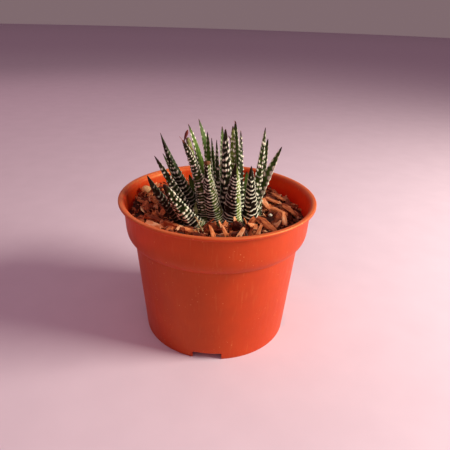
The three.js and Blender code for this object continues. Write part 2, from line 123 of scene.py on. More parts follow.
# ---------------------------------------------------------------- meshes
@dataclass
class Skin:
    """A closed surface: points in millimetres, its quads and triangles, and a pattern's values by name."""

    points: Array
    quads: Array
    triangles: Array
    values: dict[str, Array] = field(default_factory=dict)

    @classmethod
    def tubes(cls, rings: Array, ends: Array, values: Mapping[str, Array] | None = None) -> "Skin":
        """Skins a batch of tubes alike: each runs through its rings and closes to a point at each end.

        Args:
            rings: points as (tube, ring, corner, 3), anticlockwise seen from the last ring. A
                single tube can do without the first of these, here and below.
            ends: the two closing points as (tube, 2, 3).
            values: a number, or a vector of 3, for each ring point, as (tube, ring, corner[, 3]).

        Returns:
            All the tubes as one skin.
        """
        rows, columns = rings.shape[-3:-1]
        size = rows * columns + 2
        rings = rings.reshape(-1, rows * columns, 3)
        count = len(rings)
        points = np.concatenate([rings, ends.reshape(count, 2, 3)], axis=1)
        side = np.arange(columns)
        after = (side + 1) % columns
        starts = (np.arange(rows - 1) * columns)[:, None]
        quads = np.stack([starts + side, starts + after, starts + columns + after,
                          starts + columns + side], axis=-1).reshape(-1, 4)
        last = (rows - 1) * columns
        first_fan = np.stack([np.full(columns, size - 2), after, side], axis=-1)
        last_fan = np.stack([last + side, last + after, np.full(columns, size - 1)], axis=-1)
        triangles = np.concatenate([first_fan, last_fan])
        shift = (np.arange(count) * size)[:, None, None]
        gathered = {}
        for name, value in (values or {}).items():
            flat = value.reshape(count, rows, columns, -1)
            caps = np.stack([flat[:, 0].mean(axis=1), flat[:, -1].mean(axis=1)], axis=1)
            gathered[name] = np.concatenate(
                [flat.reshape(count, rows * columns, -1), caps], axis=1
            ).reshape(count * size, -1)
        return cls(
            points.reshape(-1, 3),
            (quads + shift).reshape(-1, 4),
            (triangles + shift).reshape(-1, 3),
            gathered,
        )

    @staticmethod
    def joined(skins: Sequence["Skin"]) -> "Skin":
        """Several skins with the same patterns as one."""
        starts = np.cumsum([0] + [len(skin.points) for skin in skins[:-1]])
        return Skin(
            np.concatenate([skin.points for skin in skins]),
            np.concatenate([skin.quads + start for skin, start in zip(skins, starts)]),
            np.concatenate([skin.triangles + start for skin, start in zip(skins, starts)]),
            {name: np.concatenate([skin.values[name] for skin in skins]) for name in skins[0].values},
        )

    def to_object(self, name: str, smooth: bool = True) -> bpy.types.Object:
        """Makes the Blender object, in metres, with its patterns as attributes.

        Args:
            name: the object's name.
            smooth: whether its faces are shaded as one smooth surface.

        Returns:
            The object, at the origin.
        """
        mesh = bpy.data.meshes.new(name)
        corners = np.concatenate([self.quads.ravel(), self.triangles.ravel()])
        starts = np.concatenate([
            np.arange(len(self.quads)) * 4,
            len(self.quads) * 4 + np.arange(len(self.triangles)) * 3,
        ])
        mesh.vertices.add(len(self.points))
        mesh.vertices.foreach_set("co", (self.points * MM).astype(np.float32).ravel())
        mesh.loops.add(len(corners))
        mesh.loops.foreach_set("vertex_index", corners.astype(np.int32))
        mesh.polygons.add(len(starts))
        mesh.polygons.foreach_set("loop_start", starts.astype(np.int32))
        mesh.polygons.foreach_set("use_smooth", np.full(len(starts), smooth))
        for pattern, value in self.values.items():
            vector = value.shape[-1] == 3
            attribute = mesh.attributes.new(pattern, "FLOAT_VECTOR" if vector else "FLOAT", "POINT")
            attribute.data.foreach_set("vector" if vector else "value", value.astype(np.float32).ravel())
        mesh.update(calc_edges=True)
        mesh.validate()
        made = bpy.data.objects.new(name, mesh)
        bpy.context.scene.collection.objects.link(made)
        return made


def tube_along(path: Array, radii: Array, sides: int, around: Array | None = None) -> Skin:
    """A round rod: at each point of the path, a ring of that radius across the path.

    The ring stands on two directions across the path, and "around" multiplies its radius at each
    ring and side.

    Args:
        path: points of the centreline as (ring, 3).
        radii: radius at each point.
        sides: number of sides.
        around: shares of the radius as (ring, side).

    Returns:
        The closed rod, with "share", its place along the path.
    """
    along = unit(np.gradient(path, axis=0))
    across = unit(np.cross(along, np.array([0.3, 0.9, 0.1])))
    other = np.cross(along, across)
    turn = round_turn(sides)
    reach = radii[:, None] * (np.ones((len(path), sides)) if around is None else around)
    rings = path[:, None] + reach[..., None] * (
        across[:, None] * np.cos(turn)[None, :, None] + other[:, None] * np.sin(turn)[None, :, None]
    )
    share = np.linspace(0, 1, len(path))[:, None] * np.ones(sides)
    ends = np.stack([path[0] - along[0] * radii[0] * 0.3, path[-1] + along[-1] * radii[-1] * 0.3])
    return Skin.tubes(rings, ends, {"share": share})


def curve_through(points: Course, count: int) -> Array:
    """A smooth course through given points, by the Catmull-Rom formula.

    Args:
        points: the points that it passes through.
        count: number of points to return.

    Returns:
        The course as (count, 3).
    """
    held = np.array(points, float)
    held = np.concatenate([[2 * held[0] - held[1]], held, [2 * held[-1] - held[-2]]])
    place = np.linspace(0, len(points) - 1, count)
    span = np.minimum(place.astype(int), len(points) - 2)
    t = (place - span)[:, None]
    before, start, end, after = (held[span + step] for step in range(4))
    return 0.5 * (
        2 * start
        + (end - before) * t
        + (2 * before - 5 * start + 4 * end - after) * t**2
        + (3 * start - before - 3 * end + after) * t**3
    )


def turned(points: Array, roll: float, tip: float, turn: float) -> Array:
    """Turns points about X by roll, then about Y by tip, then about Z by turn, in radians."""
    about_x = Matrix.Rotation(roll, 3, "X")
    about_y = Matrix.Rotation(tip, 3, "Y")
    about_z = Matrix.Rotation(turn, 3, "Z")
    return points @ np.array(about_z @ about_y @ about_x).T


class Slot(Enum):
    """The record's material slots, by name."""

    POT = "pot_plastic"
    BARK = "bark"
    PEBBLE = "pebble_stone"
    PERLITE = "perlite"
    STEM = "stem_tissue"
    LEAF = "leaf_flesh"
    STALK = "stalk_flesh"
    BRACT = "bract_dry"


def place_piece(
    made: bpy.types.Object, finish: bpy.types.Material, replaces: Sequence[str] = ()
) -> None:
    """Gives a piece its material, sets it on the one body and hides the solids it stands for.

    Args:
        made: the piece.
        finish: its material.
        replaces: the solids that it stands for.
    """
    made.data.materials.clear()
    made.data.materials.append(finish)
    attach(made, BODY)
    if replaces:
        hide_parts(*replaces)
    log.info("%s: %d faces", made.name, len(made.data.polygons))


# ---------------------------------------------------------------- materials
Socket = bpy.types.NodeSocket
Setting = float | str | tuple[float, ...] | Socket
Inputs = Mapping[str | int, Setting] | Sequence[Setting]
Stops = tuple[tuple[float, str], ...]
Adder = Callable[..., Socket]  # add_node for the material's own nodes
Span = tuple[float, float, float, float]  # low and high values of a pattern, then what they turn into


def linear(colour: str) -> tuple[float, float, float, float]:
    """Turns an sRGB hex colour into linear light, with an alpha of 1."""
    shares = np.array([int(colour[place:place + 2], 16) for place in (1, 3, 5)]) / 255
    light = np.where(shares <= 0.04045, shares / 12.92, ((shares + 0.055) / 1.055) ** 2.4)
    return (*(float(value) for value in light), 1.0)


def fill(tree: bpy.types.NodeTree, node: bpy.types.Node, inputs: Inputs) -> None:
    """Gives a node's inputs their values, or links other nodes' outputs to them.

    Args:
        tree: the material's nodes.
        node: the node.
        inputs: a value or an output for each input by name or number, or a list in their order.
    """
    for name, value in inputs.items() if isinstance(inputs, Mapping) else enumerate(inputs):
        if isinstance(value, Socket):
            tree.links.new(value, node.inputs[name])
        else:
            node.inputs[name].default_value = value


def add_node(
    tree: bpy.types.NodeTree, kind: str, inputs: Inputs = (), out: int | str = 0, stops: Stops = (),
    **settings: object,
) -> Socket:
    """Adds a node, sets its properties and its colour stops, and fills or links its inputs.

    Args:
        tree: the material's nodes.
        kind: Blender's name for the node, without its "ShaderNode".
        inputs: what its inputs get.
        out: the output wanted, by name or number.
        stops: places and hex colours of a colour ramp.
        **settings: the node's own properties.

    Returns:
        That output.
    """
    node = tree.nodes.new("ShaderNode" + kind)
    for name, value in settings.items():
        setattr(node, name, value)
    if stops:
        elements = node.color_ramp.elements
        while len(elements) < len(stops):
            elements.new(1.0)
        for element, (place, colour) in zip(elements, stops):
            element.position = place
            element.color = linear(colour)
    fill(tree, node, inputs)
    return node.outputs[out]


def sized(place: Socket, size_mm: float) -> dict[str, Setting]:
    """The inputs of a texture whose features are size_mm across, with its scale in features to a metre."""
    return {"Vector": place, "Scale": 1 / (size_mm * MM)}


@dataclass(frozen=True)
class Finish:
    """A material in the making: what every finish here starts from.

    Attributes:
        name: the real material.
        roughness: the shader's roughness.
        ior: the material's index of refraction.
        subsurface: share of light that passes under the skin.
        depth: distance in mm that such light travels, for red, green and blue.
        specular: strength of its surface reflection, where 0.5 is that of the index alone.
        gloss: tint of that reflection.
    """

    name: str
    roughness: float
    ior: float = 1.5
    subsurface: float = 0.0
    depth: Point = (1.0, 1.0, 1.0)
    specular: float = 0.5
    gloss: str = "#ffffff"

    def surface(self, add: Adder) -> Inputs:
        """Adds the finish's own nodes and returns what they feed to the shader: here, nothing."""
        return {}

    def material(self) -> bpy.types.Material:
        """Makes the material: constant values on the shader, then what the finish's nodes feed it."""
        made = bpy.data.materials.new(self.name)
        made.use_nodes = True
        tree = made.node_tree
        shader = tree.nodes["Principled BSDF"]
        fill(tree, shader, {
            "Roughness": self.roughness, "IOR": self.ior, "Subsurface Weight": self.subsurface,
            "Subsurface Radius": self.depth, "Subsurface Scale": MM,
            "Specular IOR Level": self.specular, "Specular Tint": linear(self.gloss),
        })
        fill(tree, shader, self.surface(partial(add_node, tree)))
        return made


@dataclass(frozen=True)
class Polypropylene(Finish):
    """Injection-moulded polypropylene in terracotta red.

    A thin, slightly waxy plastic: even colour with a soft sheen, light glowing a little through
    the lip, faint scuffs from handling, dusty specks and dried water, and a painted highlight
    along the lip's top.

    Attributes:
        colour, deep: the two reds, mixed by a noise whose features are swirl_mm across.
        dust_and_lip_highlight: colour of specks and scuffs, and of the painted highlight along the lip's top.
        grain_mm: size of the fine grain in relief.
        dots: the distance from the middle of a speck speck_mm across, to its strength.
        patches: a noise patch_mm across, to how dusty the place is.
        film: a noise scuff_mm across and drawn out upright, to the strength of the scuffs.
        painted_lip_highlight: the height in metres, to how much paler the lip's top is painted, as a painted
            highlight.
        worn: the scuffs, to what they add to the roughness.
    """

    colour: str = "#c93206"
    deep: str = "#bd2904"
    dust_and_lip_highlight: str = "#e09a62"
    swirl_mm: float = 14.0
    speck_mm: float = 2.2
    patch_mm: float = 11.0
    scuff_mm: float = 1.4
    grain_mm: float = 0.5
    dots: Span = (0.2, 0.06, 0.0, 1.0)
    patches: Span = (0.48, 0.66, 0.0, 0.7)
    film: Span = (0.56, 0.8, 0.0, 0.16)
    painted_lip_highlight: Span = (76.9 * MM, 77.9 * MM, 0.0, 0.3)
    worn: Span = (0.3, 0.8, -0.05, 0.14)

    def surface(self, add: Adder) -> Inputs:
        """Mixes the reds, lays dusty specks, scuffs and a painted highlight along the lip's top over them,
        and adds a fine grain.
        """
        place = add("TexCoord", out="Object")
        swirl = add("TexNoise", {**sized(place, self.swirl_mm), "Detail": 3.0, "Roughness": 0.6})
        body = add("ValToRGB", [swirl], stops=((0.3, self.deep), (0.7, self.colour)))
        specks = add("TexVoronoi", sized(place, self.speck_mm))
        where = add("TexNoise", sized(place, self.patch_mm))
        upright = add("Mapping", {"Vector": place, "Scale": (1.0, 1.0, 0.12)})
        scuffs = add("TexNoise", {**sized(upright, self.scuff_mm), "Detail": 4.0})
        height = add("SeparateXYZ", [place], out="Z")
        # the lip's top is painted paler by its height: a painted highlight
        dots, patches, painted_lip_highlight = (
            add("MapRange", [pattern, *span], interpolation_type="SMOOTHSTEP")
            for pattern, span in ((specks, self.dots), (where, self.patches), (height, self.painted_lip_highlight))
        )
        dusty = add("Math", [dots, patches], operation="MULTIPLY")
        film = add("MapRange", [scuffs, *self.film])
        powder = add("Math", [dusty, film])
        # specks and scuffs together with the painted highlight on the lip's top
        marks_and_lip_highlight = add("Math", [powder, painted_lip_highlight], use_clamp=True)
        tint = add("Mix", {0: marks_and_lip_highlight, 6: body, 7: linear(self.dust_and_lip_highlight)}, 2, data_type="RGBA")
        low, high, smoother, rougher = self.worn
        worn = add("MapRange", [scuffs, low, high, self.roughness + smoother, self.roughness + rougher])
        grain = add("TexNoise", sized(place, self.grain_mm))
        bump = add("Bump", {"Height": grain, "Strength": 0.25, "Distance": 0.04 * MM})
        return {"Base Color": tint, "Roughness": worn, "Normal": bump}


@dataclass(frozen=True)
class LeafSkin(Finish):
    """The waxed outer skin of a haworthia leaf.

    Dark green flesh that light enters a little, cream warts in raised bands, a lighter smooth
    inner face with faint lengthwise veins, and a tip browned and purpled by sun.

    Attributes:
        outer, inner: colours of the banded face and of the smooth one, from dark to light.
        base, sunned, tip: colours at the foot, towards the tip and at the tip.
        dried, wart: colours of dried edges and of the warts.
        vein_mm, cell_mm: widths of the veins and of the cells in relief.
        patchy: a noise mottle_mm across, to the place along the outer colours.
        at_base, at_sun, at_tip: the share of the length, to the share of the colours there.
        chalky: what a wart adds to the roughness.
    """

    outer: Stops = (
        (0.08, "#100804"), (0.24, "#161709"), (0.5, "#2f4213"), (0.75, "#667a2c"), (1.0, "#a9b062"),
    )
    inner: Stops = ((0.25, "#1f3010"), (0.6, "#4b6a26"), (1.0, "#86994c"))
    wart: str = "#fffbe8"
    sunned: str = "#3a2216"
    tip: str = "#2c1012"
    dried: str = "#7a4c30"
    base: str = "#8e9a62"
    mottle_mm: float = 2.4
    vein_mm: float = 0.9
    cell_mm: float = 0.3
    patchy: Span = (0.35, 0.7, 0.04, 0.42)
    at_base: Span = (0.10, 0.0, 0.0, 0.75)
    at_sun: Span = (0.74, 0.96, 0.0, 0.4)
    at_tip: Span = (0.93, 0.985, 0.0, 1.0)
    chalky: float = 0.2

    def surface(self, add: Adder) -> Inputs:
        """Colours the two faces, then lays the foot, the sun, the tip and the warts over them."""
        place = add("TexCoord", out="Object")
        band, inner, along, dry, tone = (
            add("Attribute", out="Fac", attribute_name=name)
            for name in ("band", "inner", "along", "dry", "tone")
        )
        mottle = add("TexNoise", {**sized(place, self.mottle_mm), "Detail": 4.0, "Roughness": 0.65})
        patchy = add("MapRange", [mottle, *self.patchy])
        flat = add("Mapping", {"Vector": place, "Scale": (1.0, 1.0, 0.08)})
        veins = add("TexNoise", {**sized(flat, self.vein_mm), "Detail": 3.0})
        # the outer face's tone holds the leaf's own paleness, with painted light on the right of its keel and
        # painted shade low down on the other side
        outer_face, inner_face = (
            add("ValToRGB", [add("Math", [pattern, tone])], stops=stops)
            for pattern, stops in ((patchy, self.outer), (veins, self.inner))
        )
        tint = add("Mix", {0: inner, 6: outer_face, 7: inner_face}, 2, data_type="RGBA")
        layers = (
            (add("MapRange", [along, *self.at_base]), self.base),
            (add("MapRange", [along, *self.at_sun], interpolation_type="SMOOTHSTEP"), self.sunned),
            (add("MapRange", [along, *self.at_tip]), self.tip),
            (dry, self.dried),
            (band, self.wart),
        )
        for share, colour in layers:
            tint = add("Mix", {0: share, 6: tint, 7: linear(colour)}, 2, data_type="RGBA")
        chalk = add("MapRange", [band, 0.0, 1.0, self.roughness, self.roughness + self.chalky])
        cells = add("TexVoronoi", sized(place, self.cell_mm))
        bump = add("Bump", {"Height": cells, "Strength": 0.35, "Distance": 0.04 * MM})
        return {"Base Color": tint, "Roughness": chalk, "Normal": bump}


@dataclass(frozen=True)
class Bark(Finish):
    """Split pine bark, dry on top.

    Reddish brown chips, each of its own tone, with darker and lighter fibres along the split and
    a dull, dusty surface.

    Attributes:
        stops: the browns from dark to light.
        streaks, stains: noises fibre_mm and stain_mm across, to shifts along the stops.
    """

    stops: Stops = (
        (0.0, "#240b06"), (0.3, "#5e200f"), (0.52, "#9c431e"), (0.75, "#cc7240"), (1.0, "#e8b08a"),
    )
    fibre_mm: float = 0.7
    stain_mm: float = 4.0
    streaks: Span = (0.25, 0.75, -0.2, 0.2)
    stains: Span = (0.3, 0.7, -0.14, 0.14)

    def surface(self, add: Adder) -> Inputs:
        """Shifts each chip's tone by its fibres and stains, with the fibres in relief."""
        fibre = add("Attribute", out="Vector", attribute_name="fibre")
        tone = add("Attribute", out="Fac", attribute_name="tone")
        drawn = add("Mapping", {"Vector": fibre, "Scale": (0.14, 1.0, 1.0)})
        streaks = add("TexNoise", {
            "Vector": drawn, "Scale": 1 / self.fibre_mm, "Detail": 4.0, "Roughness": 0.7})
        stains = add("TexNoise", {"Vector": fibre, "Scale": 1 / self.stain_mm, "Detail": 3.0})
        first = add("Math", [tone, add("MapRange", [streaks, *self.streaks])])
        second = add("Math", [first, add("MapRange", [stains, *self.stains])], use_clamp=True)
        colour = add("ValToRGB", [second], stops=self.stops)
        bump = add("Bump", {"Height": streaks, "Strength": 0.9, "Distance": 0.25 * MM})
        return {"Base Color": colour, "Normal": bump}


@dataclass(frozen=True)
class Grit(Finish):
    """Loose or stony matter with two mixed colours: peat, perlite or quartzite.

    Attributes:
        stops: the colours mixed, by a noise whose features are grain_mm across.
        grain_mm: size of a grain.
        relief_mm: height of the grains.
    """

    stops: Stops = ((0.3, "#1c110b"), (0.7, "#3a2417"))
    grain_mm: float = 1.2
    relief_mm: float = 0.3

    def surface(self, add: Adder) -> Inputs:
        """Mixes the colours grain by grain, with the grains and pits in relief."""
        pattern = sized(add("TexCoord", out="Object"), self.grain_mm)
        grains = add("TexNoise", {**pattern, "Detail": 5.0, "Roughness": 0.65})
        colour = add("ValToRGB", [grains], stops=self.stops)
        height = add("Math", [grains, add("TexVoronoi", pattern)])
        bump = add("Bump", {"Height": height, "Strength": 0.7, "Distance": self.relief_mm * MM})
        return {"Base Color": colour, "Normal": bump}


@dataclass(frozen=True)
class DryTissue(Finish):
    """Plant tissue, living at its foot and dried at its end, with fibres along it.

    Attributes:
        stops: colours from the foot to the end, by the piece's "share".
        fibre_mm: width of a fibre.
        streak: how far the fibres shift the colour along the stops.
    """

    stops: Stops = ((0.0, "#8fa05a"), (1.0, "#6a4526"))
    fibre_mm: float = 0.4
    streak: float = 0.2

    def surface(self, add: Adder) -> Inputs:
        """Colours the tissue by its share and its fibres, which stand in relief."""
        place = add("TexCoord", out="Object")
        share = add("Attribute", out="Fac", attribute_name="share")
        flat = add("Mapping", {"Vector": place, "Scale": (1.0, 1.0, 0.12)})
        fibres = add("TexNoise", {**sized(flat, self.fibre_mm), "Detail": 3.0})
        shift = add("MapRange", [fibres, 0.3, 0.7, -self.streak, self.streak])
        aged = add("Math", [share, shift], use_clamp=True)
        colour = add("ValToRGB", [aged], stops=self.stops)
        bump = add("Bump", {"Height": fibres, "Strength": 0.5, "Distance": 0.12 * MM})
        return {"Base Color": colour, "Normal": bump}


@dataclass(frozen=True)
class Card(Finish):
    """Matt backing card: pale, in stops of two tones mixed by a noise fleck_mm across, without sheen."""

    stops: Stops = ((0.3, "#dfc9df"), (0.7, "#e3cde3"))
    fleck_mm: float = 25.0

    def surface(self, add: Adder) -> Inputs:
        """Mixes the two tones by a soft noise."""
        place = add("TexCoord", out="Object")
        fleck = add("TexNoise", {**sized(place, self.fleck_mm), "Detail": 3.0})
        return {"Base Color": add("ValToRGB", [fleck], stops=self.stops)}


# ---------------------------------------------------------------- pot
@dataclass
class NurseryPot:
    """The moulded pot: a plain flared body, a deep collar and a rolled lip.

    Attributes:
        profile: corners of the wall's section as radius, height and rounding, from the middle of
            the floor's underside round to the middle of its top.
        foot: radius of the foot ring's outer edge.
        slope: run of the body's wall for a rise of 1.
        notch: width and height of a drainage notch in the foot ring.
        notches: number of notches, and of drain holes.
        first_notch: direction of the first notch, in degrees from +X.
        drain_radius: radius of a drain hole.
        drain_circle: distance of the drain holes from the middle.
        floor: heights of the floor's underside and top.
        long_run: length above which a straight run gets points of its own.
        ring_width: how far in from the foot's edge the foot ring's outer side begins.
        lifted: height up to which the outer side moves with a notch.
    """

    profile: Course = (
        (39.1, 4.0, 0.3), (39.1, 0.0, 0.25), (40.3, 0.0, 0.3), (45.0, 56.2, 0.25), (46.7, 56.6, 0.3),
        (48.4, 58.9, 1.6), (49.1, 61.8, 1.8), (49.9, 76.3, 0.35), (52.2, 76.3, 0.15),
        (52.5, 76.7, 0.25), (52.5, 77.6, 0.35), (52.1, 78.0, 0.35), (50.4, 78.0, 0.7),
        (48.9, 76.3, 1.2), (47.9, 61.7, 1.4), (47.2, 59.3, 1.0), (46.2, 58.3, 0.8),
        (43.8, 57.6, 0.5), (39.5, 5.2, 0.6),
    )
    foot: float = 40.3
    slope: float = 4.7 / 56.4
    notch: tuple[float, float] = (15.6, 3.9)
    notches: int = 4
    first_notch: float = -95.5
    drain_radius: float = 4.0
    drain_circle: float = 29.0
    floor: tuple[float, float] = (4.0, 5.2)
    long_run: float = 6.0
    ring_width: float = 0.61
    lifted: float = 8.0

    def section(self) -> Array:
        """The profile with its corners rounded.

        Each corner becomes a quadratic curve between two points, one on either side at the
        rounding's length, and long straight runs get a point near each end to keep them flat.

        Returns:
            Radius and height of each point of the section, as (row, 2).
        """
        corners = np.array([(0.0, self.floor[0], 0.0), *self.profile, (0.0, self.floor[1], 0.0)])
        t = np.linspace(0, 1, 6)[:, None]
        arcs = []
        for before, corner, after in zip(corners, corners[1:], corners[2:]):
            back, on = before[:2] - corner[:2], after[:2] - corner[:2]
            start = corner[:2] + unit(back) * min(corner[2], 0.45 * np.linalg.norm(back))
            end = corner[:2] + unit(on) * min(corner[2], 0.45 * np.linalg.norm(on))
            arcs.append((1 - t) ** 2 * start + 2 * t * (1 - t) * corner[:2] + t**2 * end)
        rows = [arcs[0]]
        for arc, following in zip(arcs, arcs[1:]):
            gap = following[0] - arc[-1]
            run = np.linalg.norm(gap)
            if run > self.long_run:
                stations = np.array([0.7, 1.7, 2.9, 4.1, run / 2, run - 2.0, run - 0.8])
                rows.append(arc[-1] + unit(gap) * stations[:, None])
            rows.append(following)
        floor_radii = np.array([12.0, 30.0])
        underside = np.stack([floor_radii, np.full(2, self.floor[0])], axis=-1)
        top_side = np.stack([floor_radii[::-1], np.full(2, self.floor[1])], axis=-1)
        return np.concatenate([underside, *rows, top_side])

    def notch_turns(self) -> Array:
        """Directions of the notches' middles."""
        return math.radians(self.first_notch) + np.arange(self.notches) * WHOLE_TURN / self.notches

    def turns(self) -> Array:
        """Directions of the section round the pot, with more of them beside each notch."""
        even = np.linspace(0, WHOLE_TURN, 240, endpoint=False)
        half = self.notch[0] / 2
        shares = np.array([0.80, 0.88, 0.93, 0.96, 0.98, 0.992, 0.999, 1.003, 1.02])
        edges = np.arcsin(np.concatenate([-shares, shares]) * half / self.foot)
        extra = (self.notch_turns()[:, None] + edges).ravel() % WHOLE_TURN
        near = np.abs((even[:, None] - extra + math.pi) % WHOLE_TURN - math.pi).min(axis=1)
        return np.sort(np.concatenate([even[near > 0.004], extra]))

    def notch_height(self, turn: Array) -> Array:
        """Height of the foot ring's lower edge.

        Within a notch it is the notch's height times the twelfth root of 1 - |x|¹², where x runs
        from -1 to 1 across the notch, so the upper corners are rounded. Elsewhere it is zero.

        Args:
            turn: directions round the pot.

        Returns:
            The height in each direction.
        """
        spacing = WHOLE_TURN / self.notches
        from_notch = (turn - math.radians(self.first_notch) + spacing / 2) % spacing - spacing / 2
        share = np.clip(np.abs(self.foot * np.sin(from_notch)) / (self.notch[0] / 2), 0, 1)
        return self.notch[1] * (1 - share**12) ** (1 / 12)

    def skin(self) -> Skin:
        """The section turned about the upright axis, with the foot ring lifted at the notches.

        A point of the foot ring's inner side moves from height z to h + z (4 - h) / 4, and one of
        its outer side to h + z (8 - h) / 8 up to a height of 8, where h is the notch's height
        there. The outer side keeps its slope.

        Returns:
            The pot without its drain holes.
        """
        section = self.section()
        radius, height = section[:, :1], section[:, 1:]
        turn = self.turns()[None]
        lift = self.notch_height(turn)
        inside = radius < self.foot - self.ring_width
        top = np.where(inside, self.floor[0], self.lifted)
        low = (height < top) & (np.arange(len(section))[:, None] < len(section) // 2)
        raised = np.where(low, lift + height * (top - lift) / top, height)
        spread = radius + np.where(low & ~inside, (raised - height) * self.slope, 0)
        rings = np.stack([
            spread * np.cos(turn), spread * np.sin(turn), raised * np.ones_like(turn),
        ], axis=-1)
        ends = np.array([(0, 0, self.floor[0]), (0, 0, self.floor[1])], float)
        return Skin.tubes(rings, ends)

    def drain_cutters(self) -> bpy.types.Object:
        """Upright pins where the drain holes go, one behind each notch."""
        pins = []
        for turn in self.notch_turns():
            middle = self.drain_circle * np.array([math.cos(turn), math.sin(turn)])
            path = np.array([(*middle, height) for height in np.linspace(2.0, 7.2, 4)])
            pins.append(tube_along(path, np.full(4, self.drain_radius), 48))
        return Skin.joined(pins).to_object("drain_cutters")

    def build(self, finish: Finish) -> None:
        """Makes the pot, cuts the drain holes through its floor and sets it in place."""
        made = self.skin().to_object("nursery_pot")
        cutters = self.drain_cutters()
        cut = made.modifiers.new("drain_holes", "BOOLEAN")
        cut.operation = "DIFFERENCE"
        cut.object = cutters
        depsgraph = bpy.context.evaluated_depsgraph_get()
        mesh = bpy.data.meshes.new_from_object(made.evaluated_get(depsgraph))
        made.modifiers.clear()
        made.data = mesh
        bpy.data.objects.remove(cutters)
        mesh.set_sharp_from_angle(angle=math.radians(50))
        place_piece(made, finish.material(), ["pot"])


# ---------------------------------------------------------------- leaves
WART_LINES = (0.20, 0.36, 0.50, 0.64, 0.80)  # places of the single warts across the outer face
LINES_IN_ALL = len(WART_LINES) + 2  # with one along either edge
MIDDLE_LINE = 3
LIT_LINES = (4, 5)  # wart lines on the right of the keel, whose warts are painted stronger as painted light
